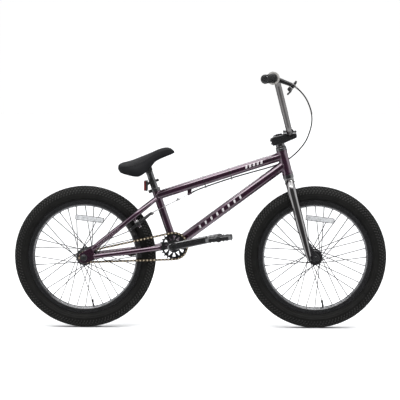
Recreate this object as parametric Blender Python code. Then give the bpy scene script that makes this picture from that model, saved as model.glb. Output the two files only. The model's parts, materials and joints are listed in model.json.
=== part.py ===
"""BMX bicycle on 20 inch wheels, as separate solids, in metres.

+X is forward, +Y is the rider's left, +Z is up.  The origin is on the ground, midway between
the axles.  The chain, sprocket and brake lever are on the rider's right, at -Y.
"""
import math

import bmesh
import bpy
from mathutils import Matrix, Vector

# ---------------------------------------------------------------- driving dimensions
FIT_GAP = 0.0003                    # left between two pieces that touch
WHEELBASE = 0.8432
TYRE_RADIUS = 0.260                 # 20 x 2.4 tyre on a 406 mm rim
STEERING_LEAN = math.radians(14.5)
FORK_OFFSET = 0.022
SEAT_TUBE_LEAN = math.radians(19.0)
CRANK_LENGTH = 0.170
CRANK_ANGLE = math.radians(12.5)
SPROCKET_TEETH = 24
DRIVER_TEETH = 9
CHAIN_PITCH = 0.0127
SPOKES_PER_WHEEL = 36
BAR_LEAN = math.radians(14.0)
SADDLE_TILT = math.radians(16.0)
PEDAL_TILT = math.radians(7.0)

# ---------------------------------------------------------------- tube and bearing sizes
HEAD_TUBE_RADIUS, HEAD_TUBE_BORE = 0.0185, 0.0160
TOP_TUBE_RADIUS = 0.0159
DOWN_TUBE_RADIUS = 0.01745
SEAT_TUBE_RADIUS, SEAT_TUBE_BORE = 0.0143, 0.0130
STAY_RADIUS = 0.0095
TUBE_WALL = 0.0015
SHELL_RADIUS, SHELL_BORE, SHELL_HALF_WIDTH = 0.0228, 0.0205, 0.034
STEERER_RADIUS = 0.0143
BAR_RADIUS, CROSSBAR_RADIUS = 0.0111, 0.0095
FORK_HALF_SPAN = 0.0505
REAR_HALF_SPAN = 0.055              # inner face of a rear dropout
FRONT_HALF_SPAN = 0.050             # inner face of a front dropout
DROPOUT_THICKNESS = 0.006
REAR_AXLE_RADIUS, FRONT_AXLE_RADIUS = 0.007, 0.005
SPINDLE_RADIUS = 0.011
POST_RADIUS = 0.0127
PEDAL_AXLE_RADIUS = 0.0065
CHAIN_LINE = -0.041
SPROCKET_PITCH_RADIUS = CHAIN_PITCH / (2 * math.sin(math.pi / SPROCKET_TEETH))
DRIVER_PITCH_RADIUS = CHAIN_PITCH / (2 * math.sin(math.pi / DRIVER_TEETH))

# ---------------------------------------------------------------- places
X, Y, Z = Vector((1, 0, 0)), Vector((0, 1, 0)), Vector((0, 0, 1))
REAR_AXLE = Vector((-WHEELBASE / 2, 0, TYRE_RADIUS))
FRONT_AXLE = Vector((WHEELBASE / 2, 0, TYRE_RADIUS))
STEER_UP = Vector((-math.sin(STEERING_LEAN), 0, math.cos(STEERING_LEAN)))
STEER_FORWARD = Vector((math.cos(STEERING_LEAN), 0, math.sin(STEERING_LEAN)))
STEER_BASE = FRONT_AXLE - STEER_FORWARD * FORK_OFFSET
BOTTOM_BRACKET = Vector((-0.0935, 0, 0.302))
SEAT_UP = Vector((-math.sin(SEAT_TUBE_LEAN), 0, math.cos(SEAT_TUBE_LEAN)))
STAY_ANGLE = math.radians(38.4)
STAY_UP = Vector((math.cos(STAY_ANGLE), 0, math.sin(STAY_ANGLE)))
STAY_FRONT = Vector((math.sin(STAY_ANGLE), 0, -math.cos(STAY_ANGLE)))
BAR_CENTRE = Vector((0.3274, 0, 0.714))
BAR_UP = Vector((-math.sin(BAR_LEAN), 0, math.cos(BAR_LEAN)))
BAR_FORWARD = Vector((math.cos(BAR_LEAN), 0, math.sin(BAR_LEAN)))

HEAD_TUBE_SPAN = (0.3170, 0.4085)   # distances up the steering axis
TOP_TUBE_JOIN, DOWN_TUBE_JOIN = 0.389, 0.357
SEAT_TUBE_TOP = 0.219               # distances up the seat tube
TOP_TUBE_HEIGHT = 0.1925
SADDLE_PIVOT_HEIGHT = 0.293


def on_steerer(up, forward=0.0, side=0.0):
    """A point given along, ahead of and beside the steering axis."""
    return STEER_BASE + STEER_UP * up + STEER_FORWARD * forward + Y * side


def on_seat_tube(height, side=0.0):
    """A point given along the seat tube from the bottom bracket."""
    return BOTTOM_BRACKET + SEAT_UP * height + Y * side


def by_stay(along, front, side):
    """A point given along the seat stays, in front of them and to the side."""
    return REAR_AXLE + STAY_UP * along + STAY_FRONT * front + Y * side


def on_bar(side, up, forward=0.0):
    """A point in the handlebar's plane."""
    return BAR_CENTRE + BAR_UP * up + BAR_FORWARD * forward + Y * side


# ---------------------------------------------------------------- modelling helpers
def clear_scene():
    """Remove the objects that the file opened with."""
    for thing in list(bpy.data.objects):
        bpy.data.objects.remove(thing, do_unlink=True)


def new_object(name, mesh):
    """Link a new object that holds the mesh."""
    thing = bpy.data.objects.new(name, mesh)
    bpy.context.scene.collection.objects.link(thing)
    return thing


def object_from_bmesh(shape, name="solid"):
    """Turn a bmesh into an object, with its faces pointing out."""
    bmesh.ops.recalc_face_normals(shape, faces=shape.faces)
    mesh = bpy.data.meshes.new(name)
    shape.to_mesh(mesh)
    shape.free()
    return new_object(name, mesh)


def frame_along(axis, hint=None):
    """Two directions square to the axis and to each other."""
    axis = axis.normalized()
    hint = hint or (Z if abs(axis.z) < 0.9 else X)
    first = (hint - axis * hint.dot(axis)).normalized()
    return first, axis.cross(first)


def ring(centre, first, second, radius, sides, other_radius=None):
    """Points evenly round an ellipse."""
    other_radius = radius if other_radius is None else other_radius
    turns = [math.tau * (number + 0.5) / sides for number in range(sides)]
    return [centre + first * radius * math.cos(turn) + second * other_radius * math.sin(turn)
            for turn in turns]


def lofted(rings, closed=False):
    """Skin a row of rings; a closed row meets itself, an open one has flat ends."""
    shape = bmesh.new()
    rows = [[shape.verts.new(point) for point in points] for points in rings]
    count = len(rows[0])
    pairs = list(zip(rows, rows[1:] + rows[:1])) if closed else list(zip(rows, rows[1:]))
    for here, there in pairs:
        for number in range(count):
            after = (number + 1) % count
            shape.faces.new((here[number], here[after], there[after], there[number]))
    if not closed:
        shape.faces.new(rows[0])
        shape.faces.new(rows[-1])
    return object_from_bmesh(shape)


def stepped(origin, axis, stations, sides=20, hint=None):
    """A turned solid: flat ended, through (distance along the axis, radius) stations.

    Stations may run back on themselves, which makes a blind bore.
    """
    first, second = frame_along(axis, hint)
    axis = axis.normalized()
    return lofted([ring(origin + axis * along, first, second, radius, sides)
                   for along, radius in stations])


def turned(origin, axis, profile, sides=20, hint=None):
    """A turned ring or sleeve from a closed profile of (distance along the axis, radius)."""
    first, second = frame_along(axis, hint)
    axis = axis.normalized()
    return lofted([ring(origin + axis * along, first, second, radius, sides)
                   for along, radius in profile], closed=True)


def rod(start, end, radius, sides=20):
    """A plain round bar between two points."""
    return stepped(start, end - start, [(0, radius), ((end - start).length, radius)], sides)


def sleeve(start, end, outer, inner, sides=20):
    """A plain round tube between two points."""
    length = (end - start).length
    return turned(start, end - start, [(0, inner), (length, inner), (length, outer), (0, outer)],
                  sides)


def swept_rings(path, radii, sides, flatten=1.0, hint=None):
    """Rings carried along a path without twisting."""
    tangents = []
    for number, point in enumerate(path):
        before = path[max(number - 1, 0)]
        after = path[min(number + 1, len(path) - 1)]
        inward, outward = (point - before), (after - point)
        tangent = inward.normalized() + outward.normalized()
        tangents.append(tangent.normalized())
    first, _ = frame_along(tangents[0], hint)
    rings = []
    for point, tangent, radius in zip(path, tangents, radii):
        first = (first - tangent * first.dot(tangent)).normalized()
        rings.append(ring(point, first, tangent.cross(first), radius, sides, radius * flatten))
    return rings


def swept(path, radius, sides=12, wall=None, flatten=1.0, hint=None):
    """A bent bar, or a bent tube where a wall is given.  The radius may vary along it."""
    radii = radius if isinstance(radius, (list, tuple)) else [radius] * len(path)
    outer = swept_rings(path, radii, sides, flatten, hint)
    if wall is None:
        return lofted(outer)
    inner = swept_rings(path, [value - wall for value in radii], sides, flatten, hint)
    return lofted(outer + inner[::-1], closed=True)


def arc(centre, radius, start, end, steps):
    """Points of a flat arc, with its angles in degrees."""
    angles = [math.radians(start + (end - start) * number / steps) for number in range(steps + 1)]
    return [(centre[0] + radius * math.cos(angle), centre[1] + radius * math.sin(angle))
            for angle in angles]


def slab(outline, thickness, place, holes=()):
    """A flat plate with holes, its middle plane at the place's local z = 0."""
    curve = bpy.data.curves.new("outline", "CURVE")
    curve.dimensions, curve.fill_mode, curve.extrude = "2D", "BOTH", thickness / 2
    for loop in (outline, *holes):
        spline = curve.splines.new("POLY")
        spline.points.add(len(loop) - 1)
        for point, (across, up) in zip(spline.points, loop):
            point.co = (across, up, 0, 1)
        spline.use_cyclic_u = True
    drawn = new_object("outline", curve)
    bpy.context.view_layer.update()
    evaluated = drawn.evaluated_get(bpy.context.evaluated_depsgraph_get())
    mesh = bpy.data.meshes.new_from_object(evaluated)
    bpy.data.objects.remove(drawn)
    shape = bmesh.new()
    shape.from_mesh(mesh)
    bmesh.ops.remove_doubles(shape, verts=shape.verts, dist=1e-6)
    bmesh.ops.transform(shape, matrix=place, verts=shape.verts)
    return object_from_bmesh(shape)


def axes_matrix(across, up, origin):
    """The placing matrix of a plate that is drawn in the plane of two directions."""
    normal = across.cross(up)
    matrix = Matrix((across, up, normal)).transposed().to_4x4()
    matrix.translation = origin
    return matrix


def combined(target, tools, operation):
    """Join the tools to the target, or cut them out of it, and delete them."""
    for tool in tools:
        modifier = target.modifiers.new(operation, "BOOLEAN")
        modifier.operation, modifier.solver, modifier.object = operation, "EXACT", tool
    bpy.context.view_layer.update()
    evaluated = target.evaluated_get(bpy.context.evaluated_depsgraph_get())
    mesh = bpy.data.meshes.new_from_object(evaluated)
    for thing in (target, *tools):
        bpy.data.objects.remove(thing)
    return new_object("solid", mesh)


def joined(target, *tools):
    """Join solids that overlap into one."""
    return combined(target, tools, "UNION")


def cut(target, *tools):
    """Cut the tools' shapes out of the target."""
    return combined(target, tools, "DIFFERENCE")


def filleted(corners, radius, steps=5):
    """Points along straight runs whose corners are rounded."""
    points = [corners[0]]
    for before, corner, after in zip(corners, corners[1:], corners[2:]):
        inward, outward = (corner - before).normalized(), (after - corner).normalized()
        turn = inward.angle(outward)
        reach = radius * math.tan(turn / 2)
        start = corner - inward * reach
        towards = (outward - inward * outward.dot(inward)).normalized()
        middle = start + towards * radius
        for number in range(steps + 1):
            angle = turn * number / steps
            points.append(middle - towards * radius * math.cos(angle)
                          + inward * radius * math.sin(angle))
    return points + [corners[-1]]


def smooth_route(points, spacing):
    """Points at even spacing along a smooth curve through the given points."""
    padded = [points[0] * 2 - points[1], *points, points[-1] * 2 - points[-2]]
    dense = []
    for p0, p1, p2, p3 in zip(padded, padded[1:], padded[2:], padded[3:]):
        for number in range(20):
            t = number / 20
            dense.append(0.5 * (2 * p1 + (p2 - p0) * t + (2 * p0 - 5 * p1 + 4 * p2 - p3) * t ** 2
                                + (3 * p1 - p0 - 3 * p2 + p3) * t ** 3))
    dense.append(points[-1])
    lengths = [0.0]
    for before, after in zip(dense, dense[1:]):
        lengths.append(lengths[-1] + (after - before).length)
    count = max(2, round(lengths[-1] / spacing))
    route, place = [], 0
    for number in range(count + 1):
        wanted = lengths[-1] * number / count
        while place < len(lengths) - 2 and lengths[place + 1] < wanted:
            place += 1
        share = (wanted - lengths[place]) / (lengths[place + 1] - lengths[place])
        route.append(dense[place].lerp(dense[place + 1], min(share, 1.0)))
    return route


# ---------------------------------------------------------------- materials and bodies
FINISHES = {
    "frame_paint": ((0.055, 0.008, 0.038), 0.22, 0.55),
    "gunmetal": ((0.105, 0.098, 0.092), 0.25, 0.90),
    "black_metal": ((0.012, 0.012, 0.013), 0.38, 0.40),
    "bright_steel": ((0.50, 0.50, 0.50), 0.25, 1.00),
    "chain_steel": ((0.30, 0.22, 0.13), 0.35, 0.90),
    "tyre_rubber": ((0.012, 0.012, 0.012), 0.85, 0.00),
    "grip_rubber": ((0.015, 0.015, 0.016), 0.70, 0.00),
    "black_nylon": ((0.014, 0.014, 0.015), 0.45, 0.00),
    "saddle_cloth": ((0.030, 0.030, 0.032), 0.80, 0.00),
    "red_lens": ((0.45, 0.008, 0.008), 0.15, 0.00),
    "pad_rubber": ((0.020, 0.020, 0.020), 0.80, 0.00),
    "housing": ((0.012, 0.012, 0.012), 0.35, 0.00),
}
SMOOTHING_ANGLE = math.radians(35)
PIVOT_PLACES = {}                   # each pivot's place in the world, by its name


def material(slot, node):
    """A piece's own material in one of the bicycle's finishes."""
    colour, roughness, metallic = FINISHES[slot]
    made = bpy.data.materials.new(f"{slot}.{node}")
    made.use_nodes = True
    shader = made.node_tree.nodes["Principled BSDF"]
    shader.inputs["Base Color"].default_value = (*colour, 1)
    shader.inputs["Roughness"].default_value = roughness
    shader.inputs["Metallic"].default_value = metallic
    return made


def pivot(name, place, axis=Y, parent=None):
    """An empty on a joint's axis, with its local z along the axis."""
    empty = bpy.data.objects.new(name, None)
    bpy.context.scene.collection.objects.link(empty)
    first, second = frame_along(axis)
    world = axes_matrix(first, second, place)
    if parent:
        empty.parent = parent
        empty.matrix_local = PIVOT_PLACES[parent.name].inverted() @ world
    else:
        empty.matrix_local = world
    PIVOT_PLACES[name] = world
    return empty


def keep(name, slot, solid, body=None):
    """Name a finished solid, give it its finish and hang it on its body's pivot."""
    solid.name = name
    solid.data.name = name
    solid.data.materials.clear()
    solid.data.materials.append(material(slot, name))
    if body:
        solid.data.transform(PIVOT_PLACES[body.name].inverted())
        solid.parent = body
    solid.data.shade_smooth()
    solid.data.set_sharp_from_angle(angle=SMOOTHING_ANGLE)
    return solid


# ---------------------------------------------------------------- frame
RIGHT, LEFT = -1, 1
SIDES = {"right": RIGHT, "left": LEFT}
STAY_FRONT_OFFSET = -0.005
BRAKE_PIVOT_ALONG, BRAKE_PIVOT_SIDE = 0.231, 0.044
CABLE_DIRECTION = Vector((0.887, 0, 0.463)).normalized()
CABLE_STOP = Vector((-0.038, 0, 0.491))
HANGER = Vector((-0.082, 0, 0.468))
CABLE_TAB = [(-0.0460, 0.4880), (-0.0320, 0.4950), (-0.0300, 0.5095), (-0.0460, 0.5045)]
BARREL_HALF, BARREL_RADIUS, BARREL_BORE = 0.008, 0.0040, 0.0016     # the cable stop's barrel
CHAINSTAY_PLAN = [                  # x and distance out from the middle plane
    (-0.386, 0.0585), (-0.378, 0.0580), (-0.300, 0.0540), (-0.215, 0.0475), (-0.175, 0.0380),
    (-0.148, 0.0283), (-0.110, 0.0255),
]
CHAINSTAY_FALL = 0.1284             # how much a chain stay drops for each metre back
SEATSTAY_PLAN = [                   # distance along the stay and out from the middle plane
    (0.0424, 0.0580), (0.0520, 0.0578), (0.1200, 0.0520), (0.2000, 0.0450), (0.2550, 0.0445),
    (0.3000, 0.0300), (0.3360, 0.0100),
]
BOSS_RADIUS = 0.0055


def cutter(start, end, radius, sides=24):
    """A round cutter a fit gap larger than the tube it stands for."""
    return rod(start, end, radius + FIT_GAP, sides)


def shell_cutter():
    """The bottom bracket shell's outside, as a cutter."""
    reach = Y * 0.08
    return cutter(BOTTOM_BRACKET - reach, BOTTOM_BRACKET + reach, SHELL_RADIUS)


def seat_tube_cutter():
    """The seat tube's outside, as a cutter."""
    return cutter(on_seat_tube(-0.01), on_seat_tube(0.25), SEAT_TUBE_RADIUS)


def top_tube_ends():
    """The top tube's axis from the seat tube's axis to the steering axis."""
    return on_seat_tube(TOP_TUBE_HEIGHT), on_steerer(TOP_TUBE_JOIN)


def build_main_tubes():
    """The front triangle, the bottom bracket shell and the cable stop."""
    keep("head_tube", "frame_paint",
         sleeve(on_steerer(HEAD_TUBE_SPAN[0]), on_steerer(HEAD_TUBE_SPAN[1]),
                HEAD_TUBE_RADIUS, HEAD_TUBE_BORE, 24))
    head_span = on_steerer(0.28), on_steerer(0.45)
    rear, front = top_tube_ends()
    top_tube = sleeve(rear, front, TOP_TUBE_RADIUS, TOP_TUBE_RADIUS - TUBE_WALL)
    top_tube = cut(top_tube, seat_tube_cutter(), cutter(*head_span, HEAD_TUBE_RADIUS))
    tab = slab(CABLE_TAB, 0.003, axes_matrix(X, Z, Vector()))
    half = CABLE_DIRECTION * BARREL_HALF
    barrel = sleeve(CABLE_STOP - half, CABLE_STOP + half, BARREL_RADIUS, BARREL_BORE, 12)
    tab = cut(tab, rod(CABLE_STOP - half * 2, CABLE_STOP + half * 2, BARREL_RADIUS - 0.001, 12))
    keep("top_tube", "frame_paint", joined(top_tube, tab, barrel))

    joint = on_steerer(DOWN_TUBE_JOIN)
    down_tube = sleeve(BOTTOM_BRACKET, joint, DOWN_TUBE_RADIUS, DOWN_TUBE_RADIUS - TUBE_WALL)
    keep("down_tube", "frame_paint",
         cut(down_tube, shell_cutter(), seat_tube_cutter(),
             cutter(rear, front + (front - rear) * 0.1, TOP_TUBE_RADIUS),
             cutter(*head_span, HEAD_TUBE_RADIUS)))
    seat_tube = sleeve(BOTTOM_BRACKET, on_seat_tube(SEAT_TUBE_TOP),
                       SEAT_TUBE_RADIUS, SEAT_TUBE_BORE)
    keep("seat_tube", "frame_paint", cut(seat_tube, shell_cutter()))
    half = Y * SHELL_HALF_WIDTH
    keep("bottom_bracket_shell", "frame_paint",
         sleeve(BOTTOM_BRACKET - half, BOTTOM_BRACKET + half, SHELL_RADIUS, SHELL_BORE, 24))


def rear_dropout(side):
    """The plate that holds the rear axle, slotted towards the back."""
    outer, slot = 0.020, REAR_AXLE_RADIUS + FIT_GAP
    mouth = math.degrees(math.asin(slot / outer))
    outline = [*arc((0, 0), outer, 125, 180 - mouth, 3),
               *arc((0, 0), slot, 90, -90, 8),
               *arc((0, 0), outer, 180 + mouth, 265, 4),
               (0.010, -0.019), (0.040, -0.0055), (0.040, 0.015), (0.036, 0.016),
               (0.0354, 0.0229), (0.0242, 0.0371)]
    middle = side * (REAR_HALF_SPAN + DROPOUT_THICKNESS / 2)
    return slab(outline, DROPOUT_THICKNESS, axes_matrix(X, Z, REAR_AXLE + Y * middle))


def blind_tube(path, radii, wall, sides, closed_stations):
    """A bent tube whose first end is closed over the given number of stations."""
    outer = swept_rings(path, radii, sides)
    inner = swept_rings(path, [radius - wall for radius in radii], sides)
    return lofted(outer + inner[closed_stations:][::-1])


def build_rear_stays():
    """Both chain stays with their dropouts, and both seat stays with their brake bosses."""
    for name, side in SIDES.items():
        corners = [Vector((x, side * y,
                           BOTTOM_BRACKET.z + (x - BOTTOM_BRACKET.x) * CHAINSTAY_FALL))
                   for x, y in CHAINSTAY_PLAN]
        path = smooth_route(corners, 0.030)
        stay = cut(blind_tube(path, [STAY_RADIUS] * len(path), TUBE_WALL, 10, 1), shell_cutter())
        keep(f"chainstay_{name}", "frame_paint", joined(stay, rear_dropout(side)))

        path = smooth_route([by_stay(along, STAY_FRONT_OFFSET, side * y)
                             for along, y in SEATSTAY_PLAN], 0.027)
        radii = [STAY_RADIUS - 0.001 * max(0.0, number / (len(path) - 1) - 0.8) / 0.2
                 for number in range(len(path))]
        stay = blind_tube(path, radii, TUBE_WALL, 10, 1)
        rear, front = top_tube_ends()
        stay = cut(stay, seat_tube_cutter(), cutter(rear, front, TOP_TUBE_RADIUS))
        boss = rod(by_stay(BRAKE_PIVOT_ALONG, 0.001, side * BRAKE_PIVOT_SIDE),
                   by_stay(BRAKE_PIVOT_ALONG, 0.038, side * BRAKE_PIVOT_SIDE), BOSS_RADIUS, 12)
        keep(f"seatstay_{name}", "frame_paint", joined(stay, boss))


def build_seat_clamp():
    """The split ring that grips the seat post, with its bolt ears at the back."""
    inner, outer = SEAT_TUBE_RADIUS + FIT_GAP, 0.018
    ear, half_ear, half_slit = 0.0255, 0.0085, 0.0008
    outer_from = math.degrees(math.asin(half_ear / outer))
    inner_from = math.degrees(math.asin(half_slit / inner))
    outline = [(ear, half_ear), *arc((0, 0), outer, outer_from, 360 - outer_from, 18),
               (ear, -half_ear), (ear, -half_slit),
               *arc((0, 0), inner, 360 - inner_from, inner_from, 20), (ear, half_slit)]
    rearward = Y.cross(SEAT_UP)
    keep("seat_clamp", "black_metal",
         slab(outline, 0.0115, axes_matrix(-rearward, -Y, on_seat_tube(0.2155))))


def build_bearings():
    """Headset cups and bottom bracket bearings."""
    keep("headset_cup_lower", "black_metal",
         turned(on_steerer(0.3033), STEER_UP,
                [(0, 0.0146), (0.0134, 0.0146), (0.0134, 0.0192), (0.0110, 0.0200),
                 (0.0030, 0.0200), (0, 0.0190)], 20))
    keep("headset_cup_upper", "black_metal",
         turned(on_steerer(0.4088), STEER_UP,
                [(0, 0.0146), (0.0092, 0.0146), (0.0092, 0.0186), (0.0070, 0.0200),
                 (0.0012, 0.0200), (0, 0.0192)], 20))
    for name, side in SIDES.items():
        keep(f"bottom_bracket_bearing_{name}", "bright_steel",
             sleeve(BOTTOM_BRACKET + Y * side * 0.022, BOTTOM_BRACKET + Y * side * 0.034,
                    SHELL_BORE - FIT_GAP, SPINDLE_RADIUS + FIT_GAP, 18))


# ---------------------------------------------------------------- wheels
TYRE_PROFILE = [(0.0150, 0.2094), (0.0262, 0.2170), (0.0300, 0.2310), (0.0250, 0.2480),
                (0.0135, 0.2577)]
TYRE_LINING = [(0.0215, 0.2455), (0.0262, 0.2300), (0.0112, 0.2062)]
TYRE_LINING_RADIUS = 0.2550
RIM_PROFILE = [(0.0180, 0.2090), (0.0180, 0.1915), (0.0080, 0.1855)]
RIM_WELL = [(0.0155, 0.2040), (0.0155, 0.2090)]
WHEEL_SEGMENTS = 36
RIM_SPOKE_RADIUS = 0.1832
FRONT_HUB_END, REAR_HUB_END = 0.0470, 0.0385    # distances to the left
DRIVER_SPAN = (-0.0500, -0.0332)
HUB_RUNNING_GAP = 0.0004            # between a hub's bore and its axle


def reflected(half):
    """A run of (side, radius) on the other side, in the opposite order."""
    return [(-side, radius) for side, radius in half[::-1]]


def wheel_turned(axle, profile, segments=WHEEL_SEGMENTS):
    """A ring round the axle, with points exactly at the bottom, the front and the back."""
    rings = []
    for side, radius in profile:
        turns = [math.tau * number / segments for number in range(segments)]
        rings.append([axle + Vector((radius * math.cos(turn), side, radius * math.sin(turn)))
                      for turn in turns])
    return lofted(rings, closed=True)


def polar(axle, radius, degrees, side):
    """A point on a wheel."""
    angle = math.radians(degrees)
    return axle + Vector((radius * math.cos(angle), side, radius * math.sin(angle)))


def spoke_web(axle, flange_radius, flange_side, rim_side, first_angle):
    """One side's spokes, laced three cross, as one endless strand.

    Spokes that lead and spokes that trail lie in two layers, so that they pass each other.
    A short link beside the flange or the rim joins each spoke to the next.
    """
    per_side, crossing, layer, radius, sides = SPOKES_PER_WHEEL // 2, 3, 0.0012, 0.0009, 4
    pitch = 360 / per_side
    points, hole = [], 0
    for _ in range(per_side // 2):
        for at_hub, place, lead in ((True, hole, 1), (False, hole + crossing, 1),
                                    (False, hole + crossing + 1, -1),
                                    (True, hole + 2 * crossing + 1, -1)):
            reach = flange_radius + 0.0022 if at_hub else RIM_SPOKE_RADIUS
            side = (flange_side if at_hub else rim_side) + lead * layer
            points.append(polar(axle, reach, first_angle + place * pitch, side))
        hole += 2 * crossing + 2
    rings = []
    for before, point, after in zip(points[-1:] + points, points, points[1:] + points[:1]):
        tangent = ((point - before).normalized() + (after - point).normalized()).normalized()
        first = (Y - tangent * tangent.dot(Y)).normalized()
        rings.append(ring(point, first, tangent.cross(first), radius, sides))
    return lofted(rings, closed=True)


def build_wheel(name, axle, pivot_name, hub_profile, flanges):
    """A tyre, rim, hub and two spoke webs that spin together."""
    body = pivot(pivot_name, axle)
    outside = TYRE_PROFILE + [(0, TYRE_RADIUS)] + reflected(TYRE_PROFILE)
    lining = reflected(TYRE_LINING) + [(0, TYRE_LINING_RADIUS)] + TYRE_LINING
    keep(f"{name}_tyre", "tyre_rubber", wheel_turned(axle, outside + lining), body)
    well = reflected(RIM_WELL) + RIM_WELL
    keep(f"{name}_rim", "black_metal",
         wheel_turned(axle, RIM_PROFILE + reflected(RIM_PROFILE) + well), body)
    keep(f"{name}_hub", "black_metal", turned(axle, Y, hub_profile, 20), body)
    for (side_name, side), (flange_side, flange_radius) in zip(SIDES.items(), flanges):
        first_angle = 0 if side == RIGHT else 10
        web = spoke_web(axle, flange_radius, flange_side, side * 0.0025, first_angle)
        keep(f"{name}_spokes_{side_name}", "black_metal", web, body)
    return body


def build_front_wheel():
    """The front wheel on its own bearings."""
    bore = FRONT_AXLE_RADIUS + HUB_RUNNING_GAP
    flange_out, flange_in, flange, barrel = 0.0365, 0.0330, 0.0270, 0.0165
    half = [(flange_in, barrel), (flange_in, flange), (flange_out, flange), (flange_out, 0.0145),
            (FRONT_HUB_END, 0.0130)]
    profile = reflected(half) + half + [(FRONT_HUB_END, bore), (-FRONT_HUB_END, bore)]
    middle = (flange_out + flange_in) / 2
    build_wheel("front", FRONT_AXLE, "front_wheel_pivot", profile,
                [(-middle, flange), (middle, flange)])


def build_rear_wheel():
    """The rear wheel, with its driver beside the right flange."""
    bore, flange, barrel = REAR_AXLE_RADIUS + HUB_RUNNING_GAP, 0.0310, 0.0190
    profile = [(-0.0325, bore), (-0.0325, 0.0250), (-0.0305, flange), (-0.0270, flange),
               (-0.0270, barrel), (0.0330, barrel), (0.0330, flange), (0.0365, flange),
               (0.0365, 0.0180), (REAR_HUB_END, 0.0160), (REAR_HUB_END, bore)]
    build_wheel("rear", REAR_AXLE, "rear_wheel_pivot", profile,
                [(-0.02875, flange), (0.03475, flange)])


CONE_GAP = 0.0004                   # between a cone and the hub or the driver beside it
AXLE_NUTS = {                       # corner radius, start outside the dropout, length
    "rear": (0.0125, 0.0613, 0.0117),
    "front": (0.0095, 0.0563, 0.0097),
}


def coned_axle(centre, radius, cone, spans, half_length):
    """A wheel's axle with a cone over each span, given as distances to the left."""
    stations = [(-half_length, radius)]
    for start, end in spans:
        stations += [(start, radius), (start, cone), (end, cone), (end, radius)]
    return stepped(centre, Y, [*stations, (half_length, radius)], 14)


def build_axles():
    """Both wheel axles with their cones, and the nuts outside the dropouts."""
    steering = pivot("steering_pivot", STEER_BASE, STEER_UP)
    rear_end, front_end = REAR_HALF_SPAN - FIT_GAP, FRONT_HALF_SPAN - FIT_GAP
    rear_spans = [(-rear_end, DRIVER_SPAN[0] - CONE_GAP), (REAR_HUB_END + CONE_GAP, rear_end)]
    front_spans = [(-front_end, -FRONT_HUB_END - CONE_GAP), (FRONT_HUB_END + CONE_GAP, front_end)]
    keep("rear_axle", "bright_steel",
         coned_axle(REAR_AXLE, REAR_AXLE_RADIUS, 0.011, rear_spans, 0.077))
    keep("front_axle", "bright_steel",
         coned_axle(FRONT_AXLE, FRONT_AXLE_RADIUS, 0.009, front_spans, 0.070), steering)
    for where, centre, radius, body in (("rear", REAR_AXLE, REAR_AXLE_RADIUS, None),
                                        ("front", FRONT_AXLE, FRONT_AXLE_RADIUS, steering)):
        corner, start, length = AXLE_NUTS[where]
        for name, side in SIDES.items():
            hexagon = arc((0, 0), corner, 30, 330, 5)
            bore = arc((0, 0), radius + FIT_GAP, 0, 345, 15)
            middle = centre + Y * side * (start + length / 2)
            nut = slab(hexagon, length, axes_matrix(X, Z, middle), [bore])
            keep(f"{where}_axle_nut_{name}", "bright_steel", nut, body)
    return steering


# ---------------------------------------------------------------- steering
def fork_dropout(side):
    """The plate below a fork leg, slotted downwards for the front axle."""
    outer, slot, centre = 0.014, FRONT_AXLE_RADIUS + FIT_GAP, (FORK_OFFSET, 0)
    mouth = math.degrees(math.asin(slot / outer))
    outline = [(-0.003, 0.052), (-0.003, 0.002), *arc(centre, outer, 215, 270 - mouth, 2),
               *arc(centre, slot, 180, 0, 8), *arc(centre, outer, 270 + mouth, 410, 6),
               (0.014, 0.050), (0.008, 0.056)]
    middle = side * (FRONT_HALF_SPAN + DROPOUT_THICKNESS / 2)
    place = axes_matrix(STEER_FORWARD, STEER_UP, on_steerer(0, 0, middle))
    return slab(outline, DROPOUT_THICKNESS, place)


def build_fork(body):
    """Two taper legs bent over into one crown, the steerer and the dropouts."""
    foot, crown, bend = -0.004, 0.286, 0.032
    thick, thin, taper_from = 0.0159, 0.0095, 0.120
    corners = [on_steerer(foot, 0, -FORK_HALF_SPAN), on_steerer(taper_from, 0, -FORK_HALF_SPAN),
               on_steerer(crown, 0, -FORK_HALF_SPAN), on_steerer(crown, 0, FORK_HALF_SPAN),
               on_steerer(taper_from, 0, FORK_HALF_SPAN), on_steerer(foot, 0, FORK_HALF_SPAN)]
    path = [corners[0], corners[1], *filleted(corners[1:5], bend, 4)[1:-1], corners[4], corners[5]]

    def leg(shorten, thinner):
        points = [path[0] + STEER_UP * shorten, *path[1:-1], path[-1] + STEER_UP * shorten]
        radii = [(thin if number in (0, len(path) - 1) else thick) - thinner
                 for number in range(len(path))]
        return swept(points, radii, 12, hint=STEER_FORWARD)

    steerer = rod(on_steerer(crown), on_steerer(0.455), STEERER_RADIUS)
    seat = rod(on_steerer(crown), on_steerer(0.3030), 0.0175)
    fork = joined(leg(0, 0), steerer, seat)
    bore = joined(leg(0.008, TUBE_WALL), rod(on_steerer(crown), on_steerer(0.470), 0.0122))
    fork = cut(fork, bore)
    fork = joined(fork, fork_dropout(RIGHT), fork_dropout(LEFT))
    keep("fork", "gunmetal", fork, body)
    keep("headset_cover", "black_metal",
         turned(on_steerer(0.4184), STEER_UP,
                [(0, 0.0146), (0.0140, 0.0146), (0.0140, 0.0165), (0.0045, 0.0170),
                 (0, 0.0198)], 20), body)


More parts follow.
